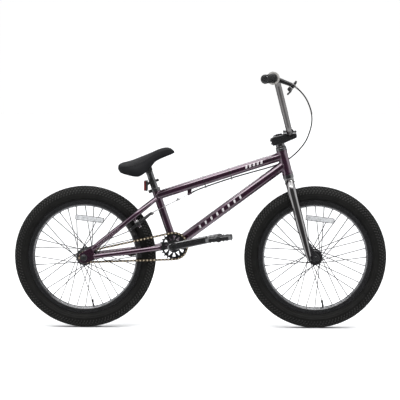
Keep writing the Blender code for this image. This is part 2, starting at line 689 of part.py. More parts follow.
def build_stem(body):
    """The top loading stem and its cap, with a groove between them for the handlebar."""
    groove = BAR_RADIUS + FIT_GAP
    centre = (BAR_CENTRE.x, BAR_CENTRE.z)
    below, above = 0.0015, 0.0008       # from the bar's axis to the stem and to the cap
    low, high = centre[1] - below, centre[1] + above
    low_turn = math.degrees(math.asin(below / groove))
    high_turn = math.degrees(math.asin(above / groove))
    rear_foot, front_foot = on_steerer(0.4327, -0.0265), on_steerer(0.4327, 0.0170)
    outline = [(rear_foot.x, rear_foot.z), (front_foot.x, front_foot.z), (0.3515, 0.6965),
               (0.3540, 0.7020), (0.3520, low),
               *arc(centre, groove, -low_turn, -180 + low_turn, 12),
               (0.3045, low), (0.2990, 0.7070), (0.2675, 0.6995), (0.2568, 0.6930)]
    width = 0.048
    middle_plane = axes_matrix(X, Z, Vector())
    stem = slab(outline, width, middle_plane)
    keep("stem", "black_metal",
         cut(stem, rod(on_steerer(0.40), on_steerer(0.50), STEERER_RADIUS + FIT_GAP)), body)
    arch, shoulder = 0.0172, 0.7192
    arch_turn = math.degrees(math.asin((shoulder - centre[1]) / arch))
    outline = [(0.3030, high), (0.3030, shoulder),
               *arc(centre, arch, 180 - arch_turn, arch_turn, 10),
               (0.3520, shoulder), (0.3520, high),
               *arc(centre, groove, high_turn, 180 - high_turn, 12)]
    keep("stem_cap", "black_metal", slab(outline, width, middle_plane), body)


BAR_RISE, BAR_BASE_HALF, BAR_TOP_HALF, BAR_HALF_WIDTH = 0.2066, 0.060, 0.150, 0.350
BAR_UPSWEEP, BAR_BACKSWEEP, BAR_BEND = 0.0052, 0.039, 0.050
CROSSBAR_HEIGHT = 0.149
GRIP_RADIUS, GRIP_START = 0.0155, 0.205


def on_grip(side, out):
    """A point on the axis of a handlebar end, at a distance out from the middle plane."""
    share = (out - BAR_TOP_HALF) / (BAR_HALF_WIDTH - BAR_TOP_HALF)
    return on_bar(side * out, BAR_RISE + BAR_UPSWEEP * share, -BAR_BACKSWEEP * share)


def build_handlebar(body):
    """The high rise handlebar, its crossbar and the grips."""
    half = [on_bar(BAR_BASE_HALF, 0), on_bar(BAR_TOP_HALF, BAR_RISE), on_grip(LEFT, BAR_HALF_WIDTH)]
    other = [Vector((point.x, -point.y, point.z)) for point in half]
    path = filleted(other[::-1] + half, BAR_BEND, 4)
    bar = swept(path, BAR_RADIUS, 12, wall=TUBE_WALL, hint=X)
    mid_wall = BAR_RADIUS - TUBE_WALL / 2
    uprights = [rod(points[0] * 2 - points[1], points[1], mid_wall, 24) for points in (half, other)]
    reach = BAR_BASE_HALF + (BAR_TOP_HALF - BAR_BASE_HALF) * CROSSBAR_HEIGHT / BAR_RISE
    crossbar = rod(on_bar(-reach, CROSSBAR_HEIGHT), on_bar(reach, CROSSBAR_HEIGHT),
                   CROSSBAR_RADIUS, 12)
    keep("handlebar", "gunmetal", joined(bar, cut(crossbar, *uprights)), body)
    bore, flange, plug, depth = BAR_RADIUS + FIT_GAP, 0.0240, 0.0150, 0.1495
    for name, side in SIDES.items():
        start = on_grip(side, GRIP_START)
        out = on_grip(side, BAR_HALF_WIDTH) - start
        keep(f"grip_{name}", "grip_rubber",
             stepped(start, out, [(depth, bore), (0, bore), (0, flange - 0.001), (0.001, flange),
                                  (0.003, flange), (0.005, 0.0170), (0.009, GRIP_RADIUS),
                                  (depth - 0.004, GRIP_RADIUS), (depth - 0.002, plug + 0.0015),
                                  (depth + 0.001, plug + 0.0015), (depth + 0.003, plug - 0.001)],
                     16), body)


# ---------------------------------------------------------------- brake
LEVER_PIVOT = Vector((0.330, -0.193, 0.880))
LEVER_AXIS = -Vector((0.62, 0, 0.787)).normalized()
LEVER_PULL = Vector((-0.787, 0, 0.62)).normalized()     # from the blade towards the grip
HOUSING_RADIUS = 0.0025
HOUSING_ROUTE = [
    (0.3500, -0.1640, 0.8790), (0.3660, -0.1560, 0.8640), (0.3830, -0.1440, 0.8420),
    (0.3960, -0.1280, 0.8150), (0.4040, -0.1080, 0.7880), (0.4060, -0.0860, 0.7590),
    (0.4010, -0.0600, 0.7270), (0.3870, -0.0290, 0.6880), (0.3690, -0.0050, 0.6610),
    (0.3500, 0.0120, 0.6395), (0.3260, 0.0230, 0.6190), (0.3010, 0.0260, 0.6050),
    (0.2680, 0.0230, 0.5920), (0.2300, 0.0130, 0.5810), (0.1835, 0.0040, 0.5685),
    (0.1175, 0.0000, 0.5495), (0.0500, 0.0000, 0.5270), (0.0050, 0.0000, 0.5110),
]
ARM_FRONT, ARM_RADIUS = 0.026, 0.006
ARM_PLAN = [                        # distance out from the middle plane and along the stay
    (0.0345, 0.188), (0.0400, 0.205), (0.0435, 0.220), (0.0440, 0.231), (0.0425, 0.254),
    (0.0330, 0.275), (0.0190, 0.290),
]


def build_brake_lever(steering):
    """The lever's bracket on the handlebar, and the lever itself."""
    clamp = on_grip(RIGHT, 0.193)
    along = (on_grip(RIGHT, 0.200) - on_grip(RIGHT, 0.186)).normalized()
    half, inner, outer = 0.007, BAR_RADIUS + FIT_GAP, 0.0155
    band = turned(clamp, along, [(-half, inner), (half, inner), (half, outer), (-half, outer)], 16)
    knuckle = LEVER_PIVOT - LEVER_AXIS * 0.0105
    neck_start = clamp + (knuckle - clamp).normalized() * 0.0135
    neck = swept([neck_start, neck_start.lerp(knuckle, 0.5), knuckle], [0.0070, 0.0062, 0.0055],
                 12, flatten=1.2, hint=Y)
    hub = rod(LEVER_PIVOT - LEVER_AXIS * 0.0004, LEVER_PIVOT - LEVER_AXIS * 0.014, 0.0085, 16)
    fin = swept([knuckle, LEVER_PIVOT - LEVER_AXIS * 0.020 + X * 0.002,
                 LEVER_PIVOT - LEVER_AXIS * 0.030], [0.0060, 0.0050, 0.0030], 12, hint=Y)
    barrel_end = Vector(HOUSING_ROUTE[0])
    direction = (Vector(HOUSING_ROUTE[1]) - barrel_end).normalized()
    barrel_end = barrel_end - direction * FIT_GAP
    barrel = rod(barrel_end - direction * 0.016, barrel_end, 0.0045, 16)
    bridge = swept([knuckle, barrel_end - direction * 0.012], [0.0050, 0.0042], 12, hint=Z)
    keep("brake_lever_bracket", "black_metal", joined(band, neck, hub, fin, bridge, barrel),
         steering)
    body = pivot("brake_lever_pivot", LEVER_PIVOT, LEVER_AXIS, steering)
    eye = rod(LEVER_PIVOT, LEVER_PIVOT + LEVER_AXIS * 0.014, 0.0080, 16)
    root = LEVER_PIVOT + LEVER_AXIS * 0.0075
    blade = smooth_route([root, root + Vector((0.003, -0.022, -0.003)),
                          root + Vector((0.001, -0.055, -0.008)),
                          root + Vector((-0.004, -0.085, -0.012)),
                          root + Vector((-0.008, -0.108, -0.016))], 0.013)
    count = len(blade) - 1
    radii = [0.0060 - 0.0008 * number / count for number in range(count + 1)]
    radii[-1] = 0.0035
    keep("brake_lever", "black_metal",
         joined(eye, swept(blade, radii, 10, flatten=0.68, hint=LEVER_AXIS)), body)


def build_brake_cable():
    """The housing from the lever to the frame's stop, and the hanger behind the stop."""
    end = CABLE_STOP + CABLE_DIRECTION * (0.008 + FIT_GAP)
    points = [Vector(point) for point in HOUSING_ROUTE] + [end + CABLE_DIRECTION * 0.012, end]
    route = smooth_route(points, 0.015)
    curve = bpy.data.curves.new("brake_housing", "CURVE")
    curve.dimensions, curve.bevel_depth, curve.bevel_resolution = "3D", HOUSING_RADIUS, 2
    curve.use_fill_caps, curve.render_resolution_u = True, 0
    spline = curve.splines.new("POLY")
    spline.points.add(len(route) - 1)
    for spot, point in zip(spline.points, route):
        spot.co = (*point, 1)
    housing = new_object("brake_housing", curve)
    curve.materials.append(material("housing", "brake_housing"))
    housing.name = "brake_housing"

    body = pivot("cable_yoke_pivot", HANGER, CABLE_DIRECTION)
    outline = [(-0.006, -0.0135), (-0.001, -0.0135), (0.009, -0.004), (0.009, 0.004),
               (-0.001, 0.0135), (-0.006, 0.0135)]
    hanger = slab(outline, 0.005, axes_matrix(CABLE_DIRECTION, Y, HANGER))
    wire = rod(HANGER, CABLE_STOP, 0.0008, 8)
    straddle = [rod(HANGER + Y * side * 0.011 - CABLE_DIRECTION * 0.003,
                    by_stay(0.2915, ARM_FRONT, side * 0.0185), 0.0009, 8) for side in (RIGHT, LEFT)]
    keep("cable_yoke", "bright_steel", joined(hanger, wire, *straddle), body)


def build_brake_arms():
    """The two arms that turn on the seat stays' bosses, and their pads."""
    pad_along, pad_length, pad_height, pad_thickness, pad_inner = 0.196, 0.052, 0.010, 0.007, 0.0205
    radial = (by_stay(pad_along, ARM_FRONT, 0) - REAR_AXLE).normalized()
    tangent = Y.cross(radial)
    for name, side in SIDES.items():
        hinge = by_stay(BRAKE_PIVOT_ALONG, ARM_FRONT, side * BRAKE_PIVOT_SIDE)
        body = pivot(f"brake_arm_{name}_pivot", hinge, STAY_FRONT * -side)
        path = smooth_route([by_stay(along, ARM_FRONT, side * y) for y, along in ARM_PLAN], 0.018)
        hub = rod(hinge - STAY_FRONT * 0.0075, hinge + STAY_FRONT * 0.0075, 0.010, 16)
        bore = rod(hinge - STAY_FRONT * 0.020, hinge + STAY_FRONT * 0.020, 0.0060, 12)
        arm = cut(joined(swept(path, ARM_RADIUS, 8, hint=STAY_FRONT), hub), bore)
        keep(f"brake_arm_{name}", "black_metal", arm, body)
        middle = by_stay(pad_along, ARM_FRONT, side * (pad_inner + pad_thickness / 2))
        half_long, half_high, nose = pad_length / 2, pad_height / 2, 0.004
        outline = [(-half_long, -half_high + nose / 2), (-half_long + nose, -half_high),
                   (half_long - nose, -half_high), (half_long, -half_high + nose / 2),
                   (half_long, half_high - nose / 2), (half_long - nose, half_high),
                   (-half_long + nose, half_high), (-half_long, half_high - nose / 2)]
        keep(f"brake_pad_{name}", "pad_rubber",
             slab(outline, pad_thickness, axes_matrix(tangent, radial, middle)), body)


# ---------------------------------------------------------------- drivetrain
TOOTH_THICKNESS = 0.0028
ROLLER_RADIUS = 0.00397


def toothed_outline(teeth, pitch_radius, tip_radius, turn=0.0):
    """The outline of a chain wheel."""
    root, step = pitch_radius - ROLLER_RADIUS, 360 / teeth
    outline = []
    for tooth in range(teeth):
        for radius, share in ((root, -0.32), (tip_radius, -0.10), (tip_radius, 0.10), (root, 0.32)):
            angle = math.radians(turn + step * (tooth + share))
            outline.append((radius * math.cos(angle), radius * math.sin(angle)))
    return outline


def truss_windows(inner, outer, count=12):
    """Openings round a chain wheel that leave a truss between two rings."""
    step, windows = 360 / count, []
    for number in range(count):
        middle = number * step
        if number % 2:
            window = [*arc((0, 0), outer, middle - 9.5, middle + 9.5, 3),
                      *arc((0, 0), inner, middle + 2.5, middle - 2.5, 1)]
        else:
            window = [*arc((0, 0), inner, middle - 15, middle + 15, 3),
                      *arc((0, 0), outer, middle + 2.0, middle - 2.0, 1)]
        windows.append(window)
    return windows


def build_sprocket(body):
    """The chain wheel: a toothed disc with truss windows between its hub and its rim."""
    bore = arc((0, 0), SPINDLE_RADIUS + FIT_GAP, 0, 340, 17)
    outline = toothed_outline(SPROCKET_TEETH, SPROCKET_PITCH_RADIUS, 0.0520)
    place = axes_matrix(X, Z, BOTTOM_BRACKET + Y * CHAIN_LINE)
    keep("sprocket", "black_metal",
         slab(outline, TOOTH_THICKNESS, place, [bore, *truss_windows(0.0235, 0.0385)]), body)


def build_driver():
    """The small chain wheel on the rear hub, with a boss on both sides of its teeth."""
    body = pivot("driver_pivot", REAR_AXLE)
    teeth = toothed_outline(DRIVER_TEETH, DRIVER_PITCH_RADIUS, 0.02125)
    headings = [Vector(point).normalized() for point in teeth]
    bore, boss = ([(heading.x * radius, heading.y * radius) for heading in headings]
                  for radius in (REAR_AXLE_RADIUS + 0.0006, 0.0132))
    outer_face, inner_face = CHAIN_LINE - TOOTH_THICKNESS / 2, CHAIN_LINE + TOOTH_THICKNESS / 2
    outer_end, inner_end = DRIVER_SPAN
    rings = [[REAR_AXLE + Vector((x, side, z)) for x, z in outline]
             for outline, side in ((bore, outer_end), (bore, inner_end), (boss, inner_end),
                                   (boss, inner_face), (teeth, inner_face),
                                   (teeth, outer_face), (boss, outer_face), (boss, outer_end))]
    keep("rear_driver", "bright_steel", lofted(rings, closed=True), body)


def build_chain():
    """The chain as one closed loop, with a groove inside it for the teeth."""
    across = BOTTOM_BRACKET - REAR_AXLE
    slope = math.atan2(across.z, across.x)
    spread = math.acos((DRIVER_PITCH_RADIUS - SPROCKET_PITCH_RADIUS) / across.length)
    upper, lower = slope + spread, slope - spread
    half_outer, half_inner = 0.0040, 0.0019
    inward, ceiling, outward = -0.0042, 0.0039, 0.0048
    section = [(inward, -half_outer), (outward, -half_outer), (outward, half_outer),
               (inward, half_outer), (inward, half_inner), (ceiling, half_inner),
               (ceiling, -half_inner), (inward, -half_inner)]
    rings = []
    for centre, radius, start, end, steps in (
            (BOTTOM_BRACKET, SPROCKET_PITCH_RADIUS, upper, lower, 20),
            (REAR_AXLE, DRIVER_PITCH_RADIUS, lower, upper - math.tau, 10)):
        for number in range(steps + 1):
            angle = start + (end - start) * number / steps
            outwards = Vector((math.cos(angle), 0, math.sin(angle)))
            rings.append([centre + outwards * (radius + out) + Y * (CHAIN_LINE + side)
                          for out, side in section])
    keep("chain", "chain_steel", lofted(rings, closed=True))


def rounded_ring(centre, first, second, half_first, half_second, sides=12, power=4.0):
    """Points round a soft cornered rectangle."""
    points = []
    for number in range(sides):
        angle = math.tau * (number + 0.5) / sides
        cosine, sine = math.cos(angle), math.sin(angle)
        swell = (abs(cosine) ** power + abs(sine) ** power) ** (-1 / power)
        points.append(centre + first * half_first * cosine * swell
                      + second * half_second * sine * swell)
    return points


CRANK_STATIONS = [                  # distance out along the arm, and its half height there
    (-0.0235, 0.0060), (-0.0205, 0.0105), (-0.0120, 0.0140), (0.0000, 0.0148), (0.0150, 0.0148),
    (0.1580, 0.0132), (0.1720, 0.0130), (0.1800, 0.0095), (0.1838, 0.0045),
]


def build_cranks():
    """The spindle, both arms, the sprocket and the pedal axles, which turn together."""
    body = pivot("crank_pivot", BOTTOM_BRACKET)
    half = [(0.0344, SPINDLE_RADIUS), (0.0344, 0.0140), (0.0381, 0.0140),
            (0.0381, SPINDLE_RADIUS), (0.0650, SPINDLE_RADIUS)]
    outside = [(-y, radius) for y, radius in half[::-1]] + half
    keep("crank_spindle", "bright_steel",
         turned(BOTTOM_BRACKET, Y, outside + [(0.0650, 0.0060), (-0.0650, 0.0060)], 16), body)
    build_sprocket(body)
    near, far, slant_from, slant_to = 0.0555, 0.0780, 0.012, 0.158
    for name, side in SIDES.items():
        angle = CRANK_ANGLE if side == RIGHT else CRANK_ANGLE + math.pi
        out = Vector((math.cos(angle), 0, math.sin(angle)))
        square = Y.cross(out)
        rings = []
        for along, half_height in CRANK_STATIONS:
            share = min(max((along - slant_from) / (slant_to - slant_from), 0), 1)
            across = near + (far - near) * share
            centre = BOTTOM_BRACKET + out * along + Y * side * across
            rings.append(rounded_ring(centre, square, Y, half_height, 0.0105 - 0.0015 * share))
        eye = BOTTOM_BRACKET + out * CRANK_LENGTH
        arm = cut(lofted(rings),
                  rod(BOTTOM_BRACKET + Y * side * 0.03, BOTTOM_BRACKET + Y * side * 0.08,
                      SPINDLE_RADIUS + FIT_GAP),
                  rod(eye + Y * side * 0.05, eye + Y * side * 0.10,
                      PEDAL_AXLE_RADIUS + FIT_GAP, 20))
        keep(f"crank_arm_{name}", "black_metal", arm, body)
        keep(f"pedal_axle_{name}", "bright_steel",
             stepped(eye, Y * side, [(0.0700, PEDAL_AXLE_RADIUS), (0.0874, PEDAL_AXLE_RADIUS),
                                     (0.0874, 0.0095), (0.0915, 0.0095),
                                     (0.0915, PEDAL_AXLE_RADIUS), (0.1760, PEDAL_AXLE_RADIUS)],
                     20), body)
        build_pedal(name, side, eye, body)


def build_pedal(name, side, eye, crank):
    """A platform pedal: a frame with four windows round an axle barrel."""
    body = pivot(f"pedal_{name}_pivot", eye, Y, crank)
    length, inner, width, thick = 0.100, 0.0920, 0.094, 0.0150
    forward = Vector((math.cos(PEDAL_TILT), 0, math.sin(PEDAL_TILT)))
    half_long, half_wide, corner = length / 2, width / 2, 0.014
    outline = [(half_long - corner, -half_wide), (half_long - 0.003, -half_wide + 0.011),
               (half_long, 0), (half_long - 0.003, half_wide - 0.011),
               (half_long - corner, half_wide)]
    outline = outline + [(-x, y) for x, y in outline[::-1]]
    windows = []
    for front in (-1, 1):
        for out in (-1, 1):
            near_x, far_x, near_y, far_y = 0.0135, 0.0415, 0.0045, half_wide - 0.0085
            window = [(near_x, near_y), (far_x, near_y), (far_x, far_y - 0.008),
                      (far_x - 0.008, far_y), (near_x, far_y)]
            windows.append([(front * x, out * y) for x, y in window])
    centre = eye + Y * side * (inner + half_wide)
    plate = slab(outline, thick, axes_matrix(forward, Y, centre), windows)
    barrel = rod(eye + Y * side * inner, eye + Y * side * (inner + width), 0.0108, 20)
    bore = rod(eye + Y * side * (inner - 0.01), eye + Y * side * (inner + width + 0.01),
               PEDAL_AXLE_RADIUS + 0.0005, 20)
    pedal = cut(joined(plate, barrel), bore)
    keep(f"pedal_{name}", "black_nylon", pedal, body)


# ---------------------------------------------------------------- seat
SADDLE_FORWARD = Vector((math.cos(SADDLE_TILT), 0, math.sin(SADDLE_TILT)))
SADDLE_UP = Vector((-math.sin(SADDLE_TILT), 0, math.cos(SADDLE_TILT)))
SADDLE_ORIGIN = Vector((-0.196, 0, 0.601))
SADDLE_STATIONS = [                 # along, top, lower edge, half width
    (-0.1030, 0.0170, 0.0060, 0.0300), (-0.0985, 0.0250, -0.0040, 0.0440),
    (-0.0860, 0.0292, -0.0130, 0.0580), (-0.0600, 0.0286, -0.0270, 0.0690),
    (-0.0340, 0.0294, -0.0360, 0.0660), (0.0000, 0.0332, -0.0250, 0.0500),
    (0.0300, 0.0365, -0.0040, 0.0340), (0.0600, 0.0392, 0.0040, 0.0260),
    (0.0850, 0.0385, 0.0070, 0.0220), (0.1000, 0.0310, 0.0085, 0.0165),
    (0.1100, 0.0180, 0.0105, 0.0080),
]


def saddle_point(along, up, side=0.0):
    """A point in the saddle's own frame."""
    return SADDLE_ORIGIN + SADDLE_FORWARD * along + SADDLE_UP * up + Y * side


def arch(along, half, top, foot, steps, power=2.5):
    """Points over an arch from the left foot to the right one."""
    points = []
    for number in range(steps + 1):
        angle = math.pi * number / steps
        cosine, sine = math.cos(angle), max(math.sin(angle), 0.0)
        side = half * math.copysign(abs(cosine) ** (2 / power), cosine)
        points.append(saddle_point(along, foot + (top - foot) * sine ** (2 / power), side))
    return points


def saddle_shell(stations, outer_share, inner_share, top_share, under_share, outer_steps):
    """An arched skin between two shares of the saddle's own section."""
    rings = []
    for along, top, foot, half in stations:
        rise = top - foot
        outer = arch(along, half * outer_share, foot + rise * top_share, foot, outer_steps)
        inner = arch(along, half * inner_share, foot + rise * under_share, foot, 6)
        rings.append(outer + inner[::-1])
    return lofted(rings)


def chamfered(half_across, half_up, corner=0.004):
    """The outline of a rectangle with its corners cut off."""
    return [(-half_across + corner, -half_up), (half_across - corner, -half_up),
            (half_across, -half_up + corner), (half_across, half_up - corner),
            (half_across - corner, half_up), (-half_across + corner, half_up),
            (-half_across, half_up - corner), (-half_across, -half_up + corner)]


def build_seat():
    """The seat post with its pivoting head, the saddle, and the rear reflector."""
    post_body = pivot("seat_post_pivot", on_seat_tube(SEAT_TUBE_TOP), SEAT_UP)
    bottom, shoulder, wall = 0.110, 0.286, 0.0025
    head = on_seat_tube(SADDLE_PIVOT_HEIGHT)
    post = stepped(BOTTOM_BRACKET, SEAT_UP,
                   [(shoulder - 0.012, POST_RADIUS - wall), (bottom, POST_RADIUS - wall),
                    (bottom, POST_RADIUS), (shoulder, POST_RADIUS)], 24)
    knuckle = rod(head - Y * 0.013, head + Y * 0.013, 0.014, 28)
    keep("seat_post", "black_metal", joined(post, knuckle), post_body)

    band_height, rearward = 0.246, SEAT_UP.cross(Y)
    middle = on_seat_tube(band_height)
    inner, outer = POST_RADIUS + FIT_GAP, 0.0155
    band = turned(middle, SEAT_UP, [(-0.005, inner), (0.005, inner), (0.005, outer),
                                    (-0.005, outer)], 24)
    ear = rod(middle - rearward * 0.0145, middle - rearward * 0.0240, 0.0048, 12)
    plate_middle = Vector((-0.1945, 0, 0.5205))
    plate_thickness, lens_thickness = 0.005, 0.007
    plate = slab(chamfered(0.025, 0.019), plate_thickness, axes_matrix(Y, Z, plate_middle))
    arm = swept([middle + rearward * 0.0148, plate_middle + Vector((0.001, 0, 0.005))],
                [0.0045, 0.0055], 12, hint=Y)
    keep("reflector_bracket", "black_nylon", joined(band, ear, arm, plate), post_body)
    lens_middle = plate_middle - X * ((plate_thickness + lens_thickness) / 2 + FIT_GAP)
    lens = slab(chamfered(0.0235, 0.0185), lens_thickness, axes_matrix(Y, Z, lens_middle))
    keep("rear_reflector", "red_lens", lens, post_body)

    saddle_body = pivot("saddle_pivot", head, Y, post_body)
    keep("saddle_cover", "saddle_cloth",
         saddle_shell(SADDLE_STATIONS, 1.0, 0.82, 1.0, 0.60, 10), saddle_body)
    shell = saddle_shell(SADDLE_STATIONS[1:-1], 0.79, 0.70, 0.57, 0.48, 6)
    cheeks = []
    for side in (RIGHT, LEFT):
        outline = [*arc((0.0008, -0.0231), 0.0120, 180, 360, 8),
                   (0.0180, 0.0115), (-0.0160, 0.0005)]
        place = axes_matrix(SADDLE_FORWARD, SADDLE_UP, SADDLE_ORIGIN + Y * side * 0.0160)
        cheeks.append(slab(outline, 0.004, place))
    keep("saddle_base", "black_nylon", joined(shell, *cheeks), saddle_body)


def main():
    """Build the whole bicycle."""
    clear_scene()
    build_main_tubes()
    build_rear_stays()
    build_seat_clamp()
    build_bearings()
    build_front_wheel()
    build_rear_wheel()
    steering = build_axles()
    build_fork(steering)
    build_stem(steering)
    build_handlebar(steering)
    build_brake_lever(steering)
    build_brake_cable()
    build_brake_arms()
    build_chain()
    build_driver()
    build_cranks()
    build_seat()


main()
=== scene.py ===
"""BMX bicycle: its finished surfaces, materials, light and camera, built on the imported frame.

+X is forward, +Y is the rider's left and +Z is up, in metres.  The drive side is at -Y.
"""
import sys
import json
import logging
import math
from dataclasses import dataclass
from enum import Enum
from typing import Sequence

import bmesh
import bpy
from mathutils import Matrix, Vector, noise
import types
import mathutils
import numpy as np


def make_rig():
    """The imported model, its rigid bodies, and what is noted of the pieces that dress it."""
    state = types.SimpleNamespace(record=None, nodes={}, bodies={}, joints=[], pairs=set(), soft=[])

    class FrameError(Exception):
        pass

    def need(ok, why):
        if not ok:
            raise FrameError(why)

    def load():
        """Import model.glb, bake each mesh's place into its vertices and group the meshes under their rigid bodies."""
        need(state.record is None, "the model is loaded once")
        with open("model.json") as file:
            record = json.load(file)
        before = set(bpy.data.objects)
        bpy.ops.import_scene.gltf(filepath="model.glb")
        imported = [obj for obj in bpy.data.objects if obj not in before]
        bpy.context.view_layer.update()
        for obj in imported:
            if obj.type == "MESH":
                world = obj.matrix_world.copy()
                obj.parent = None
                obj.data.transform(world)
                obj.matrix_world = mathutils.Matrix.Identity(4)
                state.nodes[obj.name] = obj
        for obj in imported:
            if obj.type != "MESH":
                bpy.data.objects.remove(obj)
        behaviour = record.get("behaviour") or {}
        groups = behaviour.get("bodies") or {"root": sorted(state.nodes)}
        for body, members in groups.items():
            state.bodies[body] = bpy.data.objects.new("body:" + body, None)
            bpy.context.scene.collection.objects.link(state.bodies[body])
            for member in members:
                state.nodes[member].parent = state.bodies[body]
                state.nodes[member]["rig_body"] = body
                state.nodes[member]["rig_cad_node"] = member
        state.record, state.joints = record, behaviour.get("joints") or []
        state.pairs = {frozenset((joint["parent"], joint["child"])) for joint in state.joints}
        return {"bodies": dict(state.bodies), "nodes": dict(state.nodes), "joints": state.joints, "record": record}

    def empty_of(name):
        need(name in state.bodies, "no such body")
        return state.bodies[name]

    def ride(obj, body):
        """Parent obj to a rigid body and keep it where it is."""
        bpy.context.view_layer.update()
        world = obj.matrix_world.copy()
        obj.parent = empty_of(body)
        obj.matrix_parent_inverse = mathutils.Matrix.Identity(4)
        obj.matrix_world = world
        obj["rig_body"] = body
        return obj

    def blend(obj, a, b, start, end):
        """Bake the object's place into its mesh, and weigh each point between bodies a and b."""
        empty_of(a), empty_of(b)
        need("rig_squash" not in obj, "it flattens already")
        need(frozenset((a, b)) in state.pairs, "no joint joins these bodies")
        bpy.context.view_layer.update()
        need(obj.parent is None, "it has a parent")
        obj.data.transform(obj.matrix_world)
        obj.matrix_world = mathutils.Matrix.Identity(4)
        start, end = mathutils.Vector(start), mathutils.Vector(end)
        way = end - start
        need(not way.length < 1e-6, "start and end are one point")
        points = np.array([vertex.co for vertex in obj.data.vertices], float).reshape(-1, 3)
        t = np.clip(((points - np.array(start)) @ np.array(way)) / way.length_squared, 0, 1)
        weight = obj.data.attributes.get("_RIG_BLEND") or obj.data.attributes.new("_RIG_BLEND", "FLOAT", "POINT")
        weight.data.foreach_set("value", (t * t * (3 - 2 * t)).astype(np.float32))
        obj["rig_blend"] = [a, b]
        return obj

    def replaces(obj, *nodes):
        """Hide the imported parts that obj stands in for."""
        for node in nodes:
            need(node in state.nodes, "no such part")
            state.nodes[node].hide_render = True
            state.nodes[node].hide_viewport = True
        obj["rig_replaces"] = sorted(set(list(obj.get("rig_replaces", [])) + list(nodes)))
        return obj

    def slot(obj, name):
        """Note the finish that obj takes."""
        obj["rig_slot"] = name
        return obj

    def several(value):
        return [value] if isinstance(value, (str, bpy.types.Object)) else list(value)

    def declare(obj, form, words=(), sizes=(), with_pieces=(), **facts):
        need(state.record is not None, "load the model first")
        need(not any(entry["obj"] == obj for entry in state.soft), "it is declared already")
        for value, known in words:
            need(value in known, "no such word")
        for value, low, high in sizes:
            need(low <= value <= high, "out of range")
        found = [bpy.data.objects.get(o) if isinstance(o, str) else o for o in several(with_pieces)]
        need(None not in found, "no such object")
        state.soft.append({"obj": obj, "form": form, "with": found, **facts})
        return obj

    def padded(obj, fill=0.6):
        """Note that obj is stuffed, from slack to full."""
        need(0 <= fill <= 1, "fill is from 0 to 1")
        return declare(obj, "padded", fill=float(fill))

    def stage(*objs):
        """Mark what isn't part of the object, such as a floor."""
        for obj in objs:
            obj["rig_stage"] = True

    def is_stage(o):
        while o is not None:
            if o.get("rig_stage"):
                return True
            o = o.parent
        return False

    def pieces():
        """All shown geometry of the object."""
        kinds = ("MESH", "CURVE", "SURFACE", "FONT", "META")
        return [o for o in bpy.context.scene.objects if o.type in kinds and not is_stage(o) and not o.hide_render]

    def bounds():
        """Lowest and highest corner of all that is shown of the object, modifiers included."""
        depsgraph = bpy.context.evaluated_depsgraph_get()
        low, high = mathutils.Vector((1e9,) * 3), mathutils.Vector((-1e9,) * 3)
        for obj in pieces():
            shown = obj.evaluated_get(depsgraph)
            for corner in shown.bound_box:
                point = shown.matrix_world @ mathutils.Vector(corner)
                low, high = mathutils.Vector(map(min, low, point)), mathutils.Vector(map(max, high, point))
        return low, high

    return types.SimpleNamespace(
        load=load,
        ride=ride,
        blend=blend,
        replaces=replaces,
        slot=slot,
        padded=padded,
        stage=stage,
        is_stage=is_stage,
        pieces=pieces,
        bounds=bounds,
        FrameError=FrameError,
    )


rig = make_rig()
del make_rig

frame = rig.load()
CAD_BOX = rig.bounds()
LOG = logging.getLogger("bicycle")
Point = Vector
Ring = list[Vector]
Flat = tuple[float, float]
Outline = list[Flat]
Section = tuple[float, float, float, float]

# ---------------------------------------------------------------- driving dimensions
X, Y, Z = Vector((1, 0, 0)), Vector((0, 1, 0)), Vector((0, 0, 1))
RIGHT, LEFT = -1, 1
SIDES = {"right": RIGHT, "left": LEFT}
WHEELBASE, TYRE_RADIUS = 0.8432, 0.26
REAR_AXLE = Vector((-WHEELBASE / 2, 0, TYRE_RADIUS))
FRONT_AXLE = Vector((WHEELBASE / 2, 0, TYRE_RADIUS))
STEERING_LEAN, FORK_OFFSET = math.radians(14.5), 0.022
STEER_UP = Vector((-math.sin(STEERING_LEAN), 0, math.cos(STEERING_LEAN)))
STEER_FORWARD = Vector((math.cos(STEERING_LEAN), 0, math.sin(STEERING_LEAN)))
STEER_BASE = FRONT_AXLE - STEER_FORWARD * FORK_OFFSET
BOTTOM_BRACKET = Vector((-0.0935, 0, 0.302))
SEAT_LEAN = math.radians(19.0)
SEAT_UP = Vector((-math.sin(SEAT_LEAN), 0, math.cos(SEAT_LEAN)))
STAY_ANGLE = math.radians(38.4)
STAY_UP = Vector((math.cos(STAY_ANGLE), 0, math.sin(STAY_ANGLE)))
STAY_FRONT = Vector((math.sin(STAY_ANGLE), 0, -math.cos(STAY_ANGLE)))
BAR_CENTRE, BAR_LEAN = Vector((0.3274, 0, 0.714)), math.radians(14.0)
BAR_UP = Vector((-math.sin(BAR_LEAN), 0, math.cos(BAR_LEAN)))
BAR_FORWARD = Vector((math.cos(BAR_LEAN), 0, math.sin(BAR_LEAN)))
CHAIN_LINE, CHAIN_PITCH = -0.041, 0.0127
SPROCKET_TEETH, DRIVER_TEETH = 24, 9
SPROCKET_PITCH_RADIUS = CHAIN_PITCH / (2 * math.sin(math.pi / SPROCKET_TEETH))
DRIVER_PITCH_RADIUS = CHAIN_PITCH / (2 * math.sin(math.pi / DRIVER_TEETH))
CRANK_LENGTH, CRANK_ANGLE = 0.17, math.radians(12.5)
PEDAL_TILT, SADDLE_TILT = math.radians(7.0), math.radians(16.0)


def on_steerer(up: float, forward: float = 0.0, side: float = 0.0) -> Point:
    """A point given along, ahead of and beside the steering axis."""
    return STEER_BASE + STEER_UP * up + STEER_FORWARD * forward + Y * side


def on_seat_tube(height: float, side: float = 0.0) -> Point:
    """A point given along the seat tube from the bottom bracket."""
    return BOTTOM_BRACKET + SEAT_UP * height + Y * side


